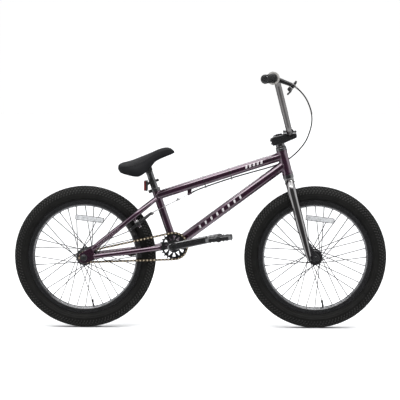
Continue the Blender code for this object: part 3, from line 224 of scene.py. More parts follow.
def by_stay(along: float, front: float, side: float) -> Point:
    """A point given along the seat stays, in front of them and to the side."""
    return REAR_AXLE + STAY_UP * along + STAY_FRONT * front + Y * side


def on_bar(side: float, up: float, forward: float = 0.0) -> Point:
    """A point in the handlebar's plane."""
    return BAR_CENTRE + BAR_UP * up + BAR_FORWARD * forward + Y * side


def turned_about(axle: Point, radius: float, angle: float, side: float = 0.0) -> Point:
    """A point on a wheel, from its radius and its angle in radians."""
    return axle + Vector((radius * math.cos(angle), side, radius * math.sin(angle)))


def pedal_eye(side: int) -> Point:
    """The centre of a crank arm's pedal eye, in the middle plane."""
    angle = CRANK_ANGLE if side == RIGHT else CRANK_ANGLE + math.pi
    return turned_about(BOTTOM_BRACKET, CRANK_LENGTH, angle)


# ---------------------------------------------------------------- shader maths
MIX_FIRST, MIX_SECOND, MIX_RESULT = 6, 7, 2     # the colour sockets of a Mix node


class Field:
    """A node's output socket that takes part in arithmetic."""

    def __init__(self, tree: bpy.types.NodeTree, socket: bpy.types.NodeSocket) -> None:
        """Wrap one socket of a node tree."""
        self.tree, self.socket = tree, socket

    def maths(self, operation: str, *terms: "Field | float") -> "Field":
        """Add one Math node.

        Args:
            operation: the Math node's operation.
            terms: its inputs in order, as fields or numbers.

        Returns:
            The node's result.
        """
        node = self.tree.nodes.new("ShaderNodeMath")
        node.operation = operation
        for socket, term in zip(node.inputs, terms):
            if isinstance(term, Field):
                self.tree.links.new(term.socket, socket)
            else:
                socket.default_value = term
        return Field(self.tree, node.outputs[0])

    def __add__(self, other: "Field | float") -> "Field":
        """self + other."""
        return self.maths("ADD", self, other)

    def __sub__(self, other: "Field | float") -> "Field":
        """self - other."""
        return self.maths("SUBTRACT", self, other)

    def __rsub__(self, other: float) -> "Field":
        """other - self."""
        return self.maths("SUBTRACT", other, self)

    def __mul__(self, other: "Field | float") -> "Field":
        """self * other."""
        return self.maths("MULTIPLY", self, other)

    __radd__, __rmul__ = __add__, __mul__

    def absolute(self) -> "Field":
        """The field without its sign."""
        return self.maths("ABSOLUTE", self)

    def held(self, least: float, most: float) -> "Field":
        """The field, held between two values."""
        raised = self.maths("MAXIMUM", self, least)
        return raised.maths("MINIMUM", raised, most)


class Shader:
    """The node tree of a material or a world, round its Principled BSDF or its Background."""

    def __init__(self, owner: bpy.types.Material | bpy.types.World) -> None:
        """Start a new material's or world's nodes."""
        owner.use_nodes = True
        self.owner, self.tree = owner, owner.node_tree
        nodes = self.tree.nodes
        self.surface = nodes.get("Principled BSDF") or nodes["Background"]

    def node(self, kind: str, settings: dict[str, object] | None = None,
             inputs: dict[str | int, object] | None = None) -> bpy.types.Node:
        """Add one node.

        Args:
            kind: the node's type.
            settings: its properties, which are set first.
            inputs: values, fields or sockets for its input sockets, by name or place.

        Returns:
            The node.
        """
        node = self.tree.nodes.new(kind)
        for name, value in (settings or {}).items():
            setattr(node, name, value)
        for name, value in (inputs or {}).items():
            self.feed(node.inputs[name], value)
        return node

    def feed(self, socket: bpy.types.NodeSocket, value: object) -> None:
        """Link a field or socket to an input, or set it to a plain value."""
        if isinstance(value, Field):
            value = value.socket
        if isinstance(value, bpy.types.NodeSocket):
            self.tree.links.new(value, socket)
        else:
            socket.default_value = value

    def field(self, node: bpy.types.Node, output: str | int = 0) -> Field:
        """One output of a node, as a field."""
        return Field(self.tree, node.outputs[output])

    def place(self, kind: str = "Object") -> bpy.types.NodeSocket:
        """The surface's own coordinates, which move with the piece, or another kind of them."""
        return self.node("ShaderNodeTexCoord").outputs[kind]

    def noise(self, size: float, detail: float = 2.0, stretch: Vector | None = None) -> Field:
        """Soft random values.

        Args:
            size: the width of one blotch.
            detail: how many finer layers are added.
            stretch: how many times longer the blotches are along x, y and z.

        Returns:
            Values round 0.5.
        """
        where = self.place()
        if stretch:
            scale = Vector((1 / stretch.x, 1 / stretch.y, 1 / stretch.z))
            where = self.node("ShaderNodeVectorMath", {"operation": "MULTIPLY"},
                              {0: where, 1: scale}).outputs[0]
        return self.field(self.node("ShaderNodeTexNoise", {},
                                    {"Vector": where, "Scale": 1 / size, "Detail": detail}), "Fac")

    def cells(self, size: float, feature: str = "F1", output: str = "Distance") -> Field:
        """Distances in a pattern of cells of the given size."""
        return self.field(self.node("ShaderNodeTexVoronoi", {"feature": feature},
                                    {"Vector": self.place(), "Scale": 1 / size}), output)

    def between(self, value: Field, low: float, high: float) -> Field:
        """A field's run from low to high, spread over 0 to 1 and held there."""
        return self.field(self.node("ShaderNodeMapRange", {"clamp": True},
                                    {"Value": value, "From Min": low, "From Max": high}))

    def mixed(self, share: Field, first: object, second: object) -> bpy.types.NodeSocket:
        """A colour that goes from the first to the second as the share goes from 0 to 1."""
        inputs = {"Factor": share, MIX_FIRST: first, MIX_SECOND: second}
        return self.node("ShaderNodeMix", {"data_type": "RGBA"}, inputs).outputs[MIX_RESULT]

    def bumped(self, height: Field, depth: float) -> None:
        """Raise the surface by a height field of the given depth."""
        node = self.node("ShaderNodeBump", {}, {"Height": height, "Distance": depth,
                                                "Strength": 1.0})
        self.feed(self.surface.inputs["Normal"], node.outputs["Normal"])


# ---------------------------------------------------------------- finishes
class Grain(Enum):
    """The fine texture that a surface is left with."""

    SPRAYED = "the orange peel of sprayed paint"
    BRUSHED = "the fine lines of polished metal"
    BLASTED = "the even pits of blasted metal"
    MOULDED = "the dull skin of moulded rubber or plastic"
    PEBBLED = "the pebbles of a vinyl cover"
    PRISMATIC = "the prisms inside a reflector"


def colour(red: float, green: float, blue: float) -> tuple[float, float, float, float]:
    """A colour with its alpha."""
    return (red, green, blue, 1.0)


@dataclass(frozen=True)
class Finish:
    """How one of the bicycle's materials looks and wears."""

    slot: str
    main: tuple[float, float, float]
    other: tuple[float, float, float]
    grain: Grain
    roughness: Flat = (0.35, 0.5)
    metallic: float = 0.0
    coat: float = 0.0
    grain_size: float = 0.0012
    grain_depth: float = 0.00004
    blotch: float = 0.03
    dust: float = 0.0
    specular: float = 0.5
    coat_index: float = 1.5

    def heights(self, shader: Shader) -> Field:
        """The grain's height over the surface, about 0 to 1."""
        if self.grain is Grain.SPRAYED:
            return shader.noise(self.grain_size, 1.0)
        if self.grain is Grain.BRUSHED:
            return shader.noise(self.grain_size, 3.0, Vector((9.0, 1.0, 1.0)))
        if self.grain is Grain.BLASTED:
            return shader.noise(self.grain_size, 4.0)
        if self.grain is Grain.MOULDED:
            broad = shader.noise(self.grain_size * 6) * 0.4
            return shader.noise(self.grain_size, 5.0) * 0.6 + broad
        if self.grain is Grain.PEBBLED:
            return shader.cells(self.grain_size, "SMOOTH_F1") * -1.0 + shader.noise(
                self.grain_size * 0.3) * 0.25
        return shader.cells(self.grain_size, "DISTANCE_TO_EDGE")

    def shade(self, shader: Shader) -> None:
        """Wire the finish's colour, gloss and grain to the material's surface."""
        surface, height = shader.surface.inputs, self.heights(shader)
        patch = shader.between(shader.noise(self.blotch, 3.0), 0.35, 0.65)
        tint = shader.mixed(patch, colour(*self.main), colour(*self.other))
        if self.grain is Grain.PEBBLED:
            # Painted shade: the valleys between the pebbles are darkened to 0.55 of the main colour.
            valley = shader.between(height, -0.75, -0.35)
            tint = shader.mixed(1 - valley, tint, colour(*(0.55 * part for part in self.main)))
        if self.grain is Grain.PRISMATIC:
            facet = shader.cells(self.grain_size, "F1", "Color")
            tint = shader.mixed(shader.between(facet, 0.2, 0.8), tint, colour(*self.other))
        if self.dust:
            powder = shader.between(shader.noise(0.012, 6.0), 0.5, 0.72) * self.dust
            tint = shader.mixed(powder, tint, colour(0.16, 0.145, 0.125))
        shader.feed(surface["Base Color"], tint)
        low, high = self.roughness
        scuffs = shader.between(shader.noise(self.blotch * 0.4, 5.0), 0.3, 0.7)
        shader.feed(surface["Roughness"], scuffs * (high - low) + low)
        surface["Metallic"].default_value = self.metallic
        surface["Specular IOR Level"].default_value = self.specular
        if self.coat:
            surface["Coat Weight"].default_value = self.coat
            surface["Coat Roughness"].default_value = 0.06
            surface["Coat IOR"].default_value = self.coat_index
        shader.bumped(height, self.grain_depth)

    def material(self) -> bpy.types.Material:
        """The finish as a material, made once and named after its slot and itself."""
        name = f"{self.slot}_{FINISH_NAMES[self]}"
        if name not in bpy.data.materials:
            self.shade(Shader(bpy.data.materials.new(name)))
        return bpy.data.materials[name]


FRAME_PAINT = Finish("frame_paint", (0.05, 0.005, 0.032), (0.028, 0.003, 0.018),
                     Grain.SPRAYED, (0.16, 0.24), 0.7, 1.0, 0.0009, 0.00001, 0.05, 0.0, 0.5,
                     1.9)
BAR_CHROME = Finish("gunmetal", (0.18, 0.173, 0.17), (0.145, 0.14, 0.137),
                    Grain.BRUSHED, (0.2, 0.28), 1.0, 0.3, 0.0008, 0.000006, 0.04)
FORK_CHROME = Finish("gunmetal", (0.3, 0.292, 0.288), (0.22, 0.215, 0.212),
                     Grain.BRUSHED, (0.09, 0.15), 1.0, 0.6, 0.0008, 0.000004, 0.05)
GLOSS_BLACK = Finish("black_metal", (0.006, 0.006, 0.0065), (0.01, 0.01, 0.011),
                     Grain.SPRAYED, (0.16, 0.24), 0.0, 0.8, 0.001, 0.000008, 0.02, 0.0, 0.4,
                     2.0)
SATIN_BLACK = Finish("black_metal", (0.007, 0.007, 0.0075), (0.012, 0.012, 0.0125),
                     Grain.BLASTED, (0.28, 0.38), 0.0, 0.0, 0.0006, 0.00002, 0.02, 0.0, 0.35)
BRIGHT_STEEL = Finish("bright_steel", (0.5, 0.5, 0.5), (0.36, 0.35, 0.34),
                      Grain.BRUSHED, (0.18, 0.34), 1.0, 0.0, 0.0006, 0.00001, 0.01)
SPOKE_BLACK = Finish("black_metal", (0.016, 0.015, 0.017), (0.026, 0.025, 0.027),
                     Grain.BRUSHED, (0.3, 0.42), 0.0, 0.0, 0.0006, 0.00001, 0.01, 0.0, 0.25)
DARK_STEEL = Finish("black_metal", (0.085, 0.085, 0.088), (0.05, 0.05, 0.052),
                    Grain.BRUSHED, (0.25, 0.38), 0.9, 0.0, 0.0006, 0.00001, 0.01)
# Painted highlight: a bright metal band along each rim's inner edge stands in for the highlight line there; the spoke
# ferrules share this finish.
RIM_EDGE = Finish("bright_steel", (0.3, 0.3, 0.31), (0.42, 0.42, 0.43),
                  Grain.BRUSHED, (0.22, 0.34), 1.0, 0.0, 0.0006, 0.00001, 0.02)
CHAIN_STEEL = Finish("chain_steel", (0.085, 0.062, 0.036), (0.048, 0.036, 0.022),
                     Grain.BRUSHED, (0.28, 0.42), 0.4, 0.0, 0.0005, 0.00001, 0.006)
PIN_STEEL = Finish("chain_steel", (0.62, 0.52, 0.38), (0.5, 0.42, 0.3),
                   Grain.BRUSHED, (0.3, 0.42), 0.2, 0.0, 0.0005, 0.00001, 0.006)
TYRE_RUBBER = Finish("tyre_rubber", (0.0065, 0.0065, 0.006), (0.0095, 0.0093, 0.0088),
                     Grain.MOULDED, (0.5, 0.66), 0.0, 0.0, 0.0007, 0.00005, 0.03, 0.0, 0.1)
# Painted highlight: the lighter colour on the tread blocks' top faces stands in for the light that they catch.
TREAD_RUBBER = Finish("tyre_rubber", (0.026, 0.026, 0.0255), (0.038, 0.0375, 0.036),
                      Grain.MOULDED, (0.6, 0.74), 0.0, 0.0, 0.0009, 0.00004, 0.02, 0.0, 0.12)
GRIP_RUBBER = Finish("grip_rubber", (0.008, 0.008, 0.0085), (0.013, 0.013, 0.013),
                     Grain.MOULDED, (0.45, 0.6), 0.0, 0.0, 0.0008, 0.00006, 0.02, 0.0, 0.25)
PAD_RUBBER = Finish("pad_rubber", (0.02, 0.02, 0.02), (0.034, 0.033, 0.032),
                    Grain.MOULDED, (0.7, 0.88), 0.0, 0.0, 0.0008, 0.00008, 0.01, 0.1, 0.35)
BLACK_NYLON = Finish("black_nylon", (0.008, 0.008, 0.0085), (0.014, 0.014, 0.0145),
                     Grain.MOULDED, (0.26, 0.38), 0.0, 0.7, 0.0006, 0.00003, 0.02, 0.0, 0.45, 1.9)
# A light grey flange, far lighter than the rest of the grip.
FLANGE_RUBBER = Finish("grip_rubber", (0.34, 0.33, 0.31), (0.27, 0.262, 0.25),
                       Grain.MOULDED, (0.45, 0.6), 0.0, 0.0, 0.0008, 0.00005, 0.01, 0.04, 0.4)
SADDLE_VINYL = Finish("saddle_cloth", (0.013, 0.013, 0.014), (0.009, 0.009, 0.01),
                      Grain.PEBBLED, (0.46, 0.58), 0.0, 0.0, 0.0016, 0.00008, 0.03, 0.0, 0.09)
RED_LENS = Finish("red_lens", (0.055, 0.004, 0.005), (0.16, 0.008, 0.009),
                  Grain.PRISMATIC, (0.12, 0.2), 0.0, 1.0, 0.003, 0.0002, 0.008)
CLEAR_LENS = Finish("bright_steel", (0.34, 0.35, 0.36), (0.72, 0.73, 0.74),
                    Grain.PRISMATIC, (0.14, 0.24), 0.2, 1.0, 0.003, 0.0002, 0.008)
HOUSING = Finish("housing", (0.006, 0.006, 0.006), (0.01, 0.01, 0.01),
                 Grain.MOULDED, (0.36, 0.48), 0.0, 0.0, 0.001, 0.00002, 0.02, 0.0, 0.12)
WHITE_INK = Finish("frame_paint", (0.62, 0.6, 0.61), (0.5, 0.47, 0.49),
                   Grain.SPRAYED, (0.25, 0.35), 0.0, 0.8, 0.0009, 0.000012, 0.01)
# Painted shade: a darker copy of the saddle vinyl for the lower skirt, standing in for the shade that falls there; the
# side seam's welt shares it.
SKIRT_VINYL = Finish("saddle_cloth", (0.006, 0.006, 0.007), (0.009, 0.009, 0.01),
                     Grain.PEBBLED, (0.45, 0.6), 0.0, 0.0, 0.0012, 0.00008, 0.03, 0.0, 0.1)
FINISH_NAMES = {value: name.lower() for name, value in list(globals().items())
                if isinstance(value, Finish)}


# ---------------------------------------------------------------- mesh tools
SHARP_ANGLE = math.radians(38)


def frame_along(axis: Vector, hint: Vector | None = None) -> tuple[Vector, Vector]:
    """Two directions square to an axis and to each other."""
    axis = axis.normalized()
    hint = hint or (Z if abs(axis.z) < 0.9 else X)
    first = (hint - axis * hint.dot(axis)).normalized()
    return first, axis.cross(first)


def ring(centre: Point, first: Vector, second: Vector, radius: float, sides: int,
         flatten: float = 1.0) -> Ring:
    """Points evenly round an ellipse."""
    turns = [math.tau * (number + 0.5) / sides for number in range(sides)]
    return [centre + first * radius * math.cos(turn) + second * radius * flatten * math.sin(turn)
            for turn in turns]


def arc(centre: Flat, radius: float, start: float, end: float, steps: int) -> Outline:
    """Points of a flat arc, with its angles in degrees."""
    angles = [math.radians(start + (end - start) * number / steps) for number in range(steps + 1)]
    return [(centre[0] + radius * math.cos(angle), centre[1] + radius * math.sin(angle))
            for angle in angles]


def flipped(profile: Outline) -> Outline:
    """A profile's other half: its points mirrored, in the opposite order."""
    return [(-along, radius) for along, radius in profile[::-1]]


def axes_matrix(across: Vector, up: Vector, origin: Point) -> Matrix:
    """The placing matrix of a plate that is drawn in the plane of two directions."""
    matrix = Matrix((across, up, across.cross(up))).transposed().to_4x4()
    matrix.translation = origin
    return matrix


def spline(before: object, start: object, end: object, after: object, t: float) -> object:
    """A value or point between start and end on a smooth curve through all four."""
    return 0.5 * (2 * start + (end - before) * t
                  + (2 * before - 5 * start + 4 * end - after) * t ** 2
                  + (3 * start - before - 3 * end + after) * t ** 3)


def smooth_route(points: Sequence[Point], spacing: float) -> Ring:
    """Points at even spacing along a smooth curve through the given points."""
    padded = [points[0] * 2 - points[1], *points, points[-1] * 2 - points[-2]]
    dense = []
    for four in zip(padded, padded[1:], padded[2:], padded[3:]):
        dense += [spline(*four, number / 20) for number in range(20)]
    dense.append(points[-1])
    lengths = [0.0]
    for before, after in zip(dense, dense[1:]):
        lengths.append(lengths[-1] + (after - before).length)
    count = max(2, round(lengths[-1] / spacing))
    route, place = [], 0
    for number in range(count + 1):
        wanted = lengths[-1] * number / count
        while place < len(lengths) - 2 and lengths[place + 1] < wanted:
            place += 1
        share = (wanted - lengths[place]) / (lengths[place + 1] - lengths[place])
        route.append(dense[place].lerp(dense[place + 1], min(share, 1.0)))
    return route


def filleted(corners: Sequence[Point], radius: float, steps: int = 10) -> Ring:
    """Points along straight runs whose corners are rounded."""
    points = [corners[0]]
    for before, corner, after in zip(corners, corners[1:], corners[2:]):
        inward, outward = (corner - before).normalized(), (after - corner).normalized()
        turn = inward.angle(outward)
        start = corner - inward * radius * math.tan(turn / 2)
        towards = (outward - inward * outward.dot(inward)).normalized()
        middle = start + towards * radius
        for number in range(steps + 1):
            angle = turn * number / steps
            points.append(middle - towards * radius * math.cos(angle)
                          + inward * radius * math.sin(angle))
    return points + [corners[-1]]


def swept_rings(path: Sequence[Point], radii: Sequence[float], sides: int, flatten: float = 1.0,
                hint: Vector | None = None, closed: bool = False) -> list[Ring]:
    """Rings carried along a path without twisting."""
    last, rings = len(path) - 1, []
    first = None
    for number, point in enumerate(path):
        before = path[number - 1] if closed or number else point
        after = path[(number + 1) % len(path)] if closed or number < last else point
        tangent = ((point - before).normalized() + (after - point).normalized()).normalized()
        first = frame_along(tangent, hint)[0] if first is None else first
        first = (first - tangent * first.dot(tangent)).normalized()
        rings.append(ring(point, first, tangent.cross(first), radii[number], sides, flatten))
    return rings


def linked(name: str, data: bpy.types.ID) -> bpy.types.Object:
    """A new object that is in the scene."""
    made = bpy.data.objects.new(name, data)
    bpy.context.scene.collection.objects.link(made)
    return made


class Shape:
    """A mesh that is put together from lofts, turnings, sweeps and plates."""

    def __init__(self) -> None:
        """Start with nothing."""
        self.mesh = bmesh.new()

    def loft(self, rings: Sequence[Ring], closed: bool = False, capped: bool = True,
             slot: int = 0, open_rings: bool = False) -> "Shape":
        """Skin a row of rings.

        Args:
            rings: rings or, with open_rings, strips of points, all with as many points.
            closed: whether the last ring joins the first.
            capped: whether the two ends of an open row are filled.
            slot: the material slot of the faces.
            open_rings: whether each ring's last point stays apart from its first.

        Returns:
            The shape, so that calls follow one another.
        """
        rows = [[self.mesh.verts.new(point) for point in points] for points in rings]
        count = len(rows[0])
        pairs = list(zip(rows, rows[1:] + rows[:1])) if closed else list(zip(rows, rows[1:]))
        faces = []
        for here, there in pairs:
            for number in range(count - 1 if open_rings else count):
                after = (number + 1) % count
                faces.append(self.mesh.faces.new((here[number], here[after],
                                                  there[after], there[number])))
        if capped and not closed and not open_rings:
            faces += [self.mesh.faces.new(rows[0]), self.mesh.faces.new(rows[-1])]
        for face in faces:
            face.material_index = slot
        return self

    def turn(self, origin: Point, axis: Vector, profile: Outline,
             sides: int = 48, closed: bool = False, slot: int = 0) -> "Shape":
        """Turn a profile of (distance along the axis, radius) round an axis."""
        first, second = frame_along(axis)
        axis = axis.normalized()
        rings = [ring(origin + axis * along, first, second, max(radius, 1e-5), sides)
                 for along, radius in profile]
        return self.loft(rings, closed=closed, slot=slot)

    def sweep(self, path: Sequence[Point], radius: float | Sequence[float], sides: int = 24,
              flatten: float = 1.0, hint: Vector | None = None, closed: bool = False,
              slot: int = 0) -> "Shape":
        """Carry a round or flattened section along a path."""
        radii = radius if isinstance(radius, (list, tuple)) else [radius] * len(path)
        return self.loft(swept_rings(path, radii, sides, flatten, hint, closed), closed, slot=slot)

    def rod(self, start: Point, end: Point, radius: float, sides: int = 32, edge: float = 0.0006,
            slot: int = 0) -> "Shape":
        """A round bar with its ends' edges eased."""
        length = (end - start).length
        edge = min(edge, radius * 0.4, length * 0.3)
        profile = [(0, radius - edge), (edge * 0.3, radius - edge * 0.3), (edge, radius),
                   (length - edge, radius), (length - edge * 0.3, radius - edge * 0.3),
                   (length, radius - edge)]
        return self.turn(start, end - start, profile, sides, slot=slot)

    def tube(self, start: Point, end: Point, outer: float, inner: float, sides: int = 48,
             edge: float = 0.0006, slot: int = 0) -> "Shape":
        """A round tube with its outer edges eased."""
        length = (end - start).length
        profile = [(0, inner), (0, outer - edge), (edge, outer), (length - edge, outer),
                   (length, outer - edge), (length, inner)]
        return self.turn(start, end - start, profile, sides, closed=True, slot=slot)

    def plate(self, outline: Outline, thickness: float, place: Matrix,
              edge: float = 0.0006, holes: Sequence[Outline] = (),
              slot: int = 0) -> "Shape":
        """A flat plate with holes and eased edges, its middle at the place's local z = 0."""
        curve = bpy.data.curves.new("outline", "CURVE")
        curve.dimensions, curve.fill_mode = "2D", "BOTH"
        edge = min(edge, thickness * 0.45)
        curve.extrude, curve.bevel_depth = thickness / 2 - edge, edge
        curve.bevel_resolution, curve.offset = 2, -edge
        for loop in (outline, *holes):
            spline = curve.splines.new("POLY")
            spline.points.add(len(loop) - 1)
            for point, (across, up) in zip(spline.points, loop):
                point.co = (across, up, 0, 1)
            spline.use_cyclic_u = True
        drawn = linked("outline", curve)
        bpy.context.view_layer.update()
        graph = bpy.context.evaluated_depsgraph_get()
        flat = bpy.data.meshes.new_from_object(drawn.evaluated_get(graph))
        bpy.data.objects.remove(drawn)
        flat.transform(place)
        have = len(self.mesh.faces)
        self.mesh.from_mesh(flat)
        self.mesh.faces.ensure_lookup_table()
        for face in self.mesh.faces[have:]:
            face.material_index = slot
        bpy.data.meshes.remove(flat)
        return self

    def bolt(self, origin: Point, axis: Vector, radius: float, height: float,
             slot: int = 0) -> "Shape":
        """A socket head screw standing on the origin."""
        axis, edge, socket = axis.normalized(), radius * 0.14, radius * 0.52
        self.turn(origin, axis, [(-0.0004, radius), (height - edge, radius),
                                 (height, radius - edge), (height, socket * 1.15)], 24, slot=slot)
        rim = [(height, socket * 1.2), (height + 0.00005, socket), (height * 0.45, socket),
               (height * 0.45, 0.0)]
        return self.turn(origin + axis * 0.00005, axis, rim, 6, slot=slot)

    def hexagon(self, origin: Point, axis: Vector, radius: float, height: float,
                slot: int = 0) -> "Shape":
        """A six-sided nut or bolt head standing on the origin."""
        edge = radius * 0.12
        return self.turn(origin, axis, [(0, radius - edge), (edge * 0.5, radius),
                                        (height - edge * 0.5, radius), (height, radius - edge),
                                        (height, 0.0)], 6, slot=slot)

    def weld(self, foot: Point, direction: Vector, radius: float, onto: Point,
             onto_direction: Vector, onto_radius: float, bead: float = 0.0021) -> "Shape":
        """A rippled bead where a tube runs into a thicker one.

        Args:
            foot: a point on the joining tube's axis, outside the tube that it meets.
            direction: the way it runs towards that tube.
            radius: the joining tube's radius.
            onto: a point on the met tube's axis.
            onto_direction: the met tube's direction.
            onto_radius: the met tube's radius.
            bead: the bead's radius.

        Returns:
            The shape.
        """
        direction, onto_direction = direction.normalized(), onto_direction.normalized()
        first, second = frame_along(direction)
        count, ripples, path = 120, 30, []
        for number in range(count):
            turn = math.tau * number / count
            start = foot + (first * math.cos(turn) + second * math.sin(turn)) * radius
            gap = start - onto
            flat = gap - onto_direction * gap.dot(onto_direction)
            run = direction - onto_direction * direction.dot(onto_direction)
            a, b, c = run.dot(run), 2 * flat.dot(run), flat.dot(flat) - onto_radius ** 2
            reach = (-b - math.sqrt(max(b * b - 4 * a * c, 0.0))) / (2 * a)
            path.append(start + direction * reach)
        radii = [bead * (0.86 + 0.14 * abs(math.sin(math.pi * ripples * number / count)))
                 for number in range(count)]
        return self.sweep(path, radii, 10, closed=True)

    def piece(self, name: str, body: str, finishes: Sequence[Finish],
              replaced: Sequence[str] = ()) -> bpy.types.Object:
        """Turn the shape into a finished piece.

        Args:
            name: the piece's name.
            body: the body that it rides on, or an empty string if it is to be blended.
            finishes: its finishes, by material slot.
            replaced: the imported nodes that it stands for.

        Returns:
            The piece.
        """
        bmesh.ops.remove_doubles(self.mesh, verts=self.mesh.verts, dist=1e-7)
        bmesh.ops.recalc_face_normals(self.mesh, faces=self.mesh.faces)
        mesh = bpy.data.meshes.new(name)
        self.mesh.to_mesh(mesh)
        self.mesh.free()
        for finish in finishes:
            mesh.materials.append(finish.material())
        made = linked(name, mesh)
        mesh.shade_smooth()
        mesh.set_sharp_from_angle(angle=SHARP_ANGLE)
        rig.slot(made, finishes[0].slot)
        if replaced:
            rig.replaces(made, *replaced)
        if body:
            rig.ride(made, body)
        LOG.info("%s: %d faces", name, len(mesh.polygons))
        return made


# ---------------------------------------------------------------- studio
@dataclass
class Studio:
    """The pale floor, the soft lights and the camera."""

    camera_place: tuple[float, float, float] = (0.25, -7.0, 0.92)
    target: tuple[float, float, float] = (0.0, 0.0, 0.468)
    view_width: float = 1.465
    sensor: float = 36.0
    reach: float = 40.0
    sky_energy: float = 2.1
    strip_energy: float = 28.0
    room_light: float = 1.45
    dark_wall: float = 0.1
    wall_edge: float = 0.78
    wall_slope: float = 3.4

    def build(self) -> None:
        """Put up the whole studio."""
        bpy.context.scene.view_settings.view_transform = "Standard"
        self.build_camera()
        self.build_floor()
        self.build_lights()

    def build_camera(self) -> None:
        """Aim a long lens at the middle of the bicycle."""
        place, target = Vector(self.camera_place), Vector(self.target)
        data = bpy.data.cameras.new("camera")
        data.sensor_width = self.sensor
        data.lens = self.sensor * (target - place).length / self.view_width
        camera = linked("camera", data)
        camera.location = place
        camera.rotation_euler = (target - place).to_track_quat("-Z", "Y").to_euler()
        bpy.context.scene.camera = camera

    def build_floor(self) -> None:
        """Lay a pale floor far wider than the view, and a white dome that only eyes see."""
        floor = Shape()
        spots = [self.reach * (number / 4 - 1) for number in range(9)]
        floor.loft([[Vector((x, y, 0.0)) for x in spots] for y in spots], capped=False,
                   open_rings=True)
        shader = Shader(bpy.data.materials.new("floor_pale"))
        tone = shader.mixed(shader.between(shader.noise(1.5), 0.3, 0.7),
                            colour(0.88, 0.88, 0.88), colour(0.86, 0.86, 0.865))
        shader.feed(shader.surface.inputs["Base Color"], tone)
        shader.feed(shader.surface.inputs["Roughness"], shader.noise(0.4) * 0.1 + 0.75)
        shader.surface.inputs["Specular IOR Level"].default_value = 0.1
        self.stand(floor, "floor", shader.owner).visible_glossy = False

        dome = Shape()
        dome.loft([[Vector((math.cos(turn) * math.cos(rise), math.sin(turn) * math.cos(rise),
                            math.sin(rise) - 0.02)) * (self.reach * 0.98)
                    for turn in (math.tau * number / 64 for number in range(64))]
                   for rise in (math.radians(step * 5.9) for step in range(16))], capped=False)
        shader = Shader(bpy.data.materials.new("dome_white"))
        shader.surface.inputs["Base Color"].default_value = colour(0.0, 0.0, 0.0)
        glow = shader.mixed(shader.noise(9.0), colour(1.0, 1.0, 1.0), colour(0.985, 0.985, 0.985))
        shader.feed(shader.surface.inputs["Emission Color"], glow)
        shader.surface.inputs["Emission Strength"].default_value = 1.0
        made = self.stand(dome, "dome", shader.owner)
        made.visible_diffuse = made.visible_glossy = False
        made.visible_transmission = made.visible_shadow = False

    def stand(self, shape: Shape, name: str, finish: bpy.types.Material) -> bpy.types.Object:
        """Turn a shape into a part of the studio."""
        mesh = bpy.data.meshes.new(name)
        shape.mesh.to_mesh(mesh)
        shape.mesh.free()
        mesh.materials.append(finish)
        made = linked(name, mesh)
        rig.stage(made)
        return made

    def build_lights(self) -> None:
        """Hang a soft sky overhead and two long strips that draw lines on the paint."""
        sky = bpy.data.lights.new("sky", "SUN")
        sky.energy, sky.angle = self.sky_energy, math.radians(80)
        self.hang(sky, (0.0, -1.2, 5.0))
        for name, y in (("strip_right", -1.5), ("strip_left", 1.5)):
            strip = bpy.data.lights.new(name, "AREA")
            strip.shape, strip.size, strip.size_y = "RECTANGLE", 3.0, 0.45
            strip.energy = self.strip_energy
            self.hang(strip, (0.0, y, 2.5))
        room = Shader(bpy.data.worlds.new("studio"))
        bpy.context.scene.world = room.owner
        heading = room.node("ShaderNodeSeparateXYZ", {}, {0: room.place("Generated")})
        glow = (self.wall_edge - room.field(heading, "Y").absolute()) * self.wall_slope
        room.feed(room.surface.inputs["Strength"], glow.held(self.dark_wall, self.room_light))
        room.feed(room.surface.inputs["Color"], colour(0.97, 0.98, 1.0))

    def hang(self, data: bpy.types.Light, place: tuple[float, float, float]) -> None:
        """Put a light in its place, aimed at the bicycle."""
        light = linked(data.name, data)
        light.location = place
        aim = Vector((0.0, 0.0, 0.4)) - Vector(place)
        light.rotation_euler = aim.to_track_quat("-Z", "Y").to_euler()


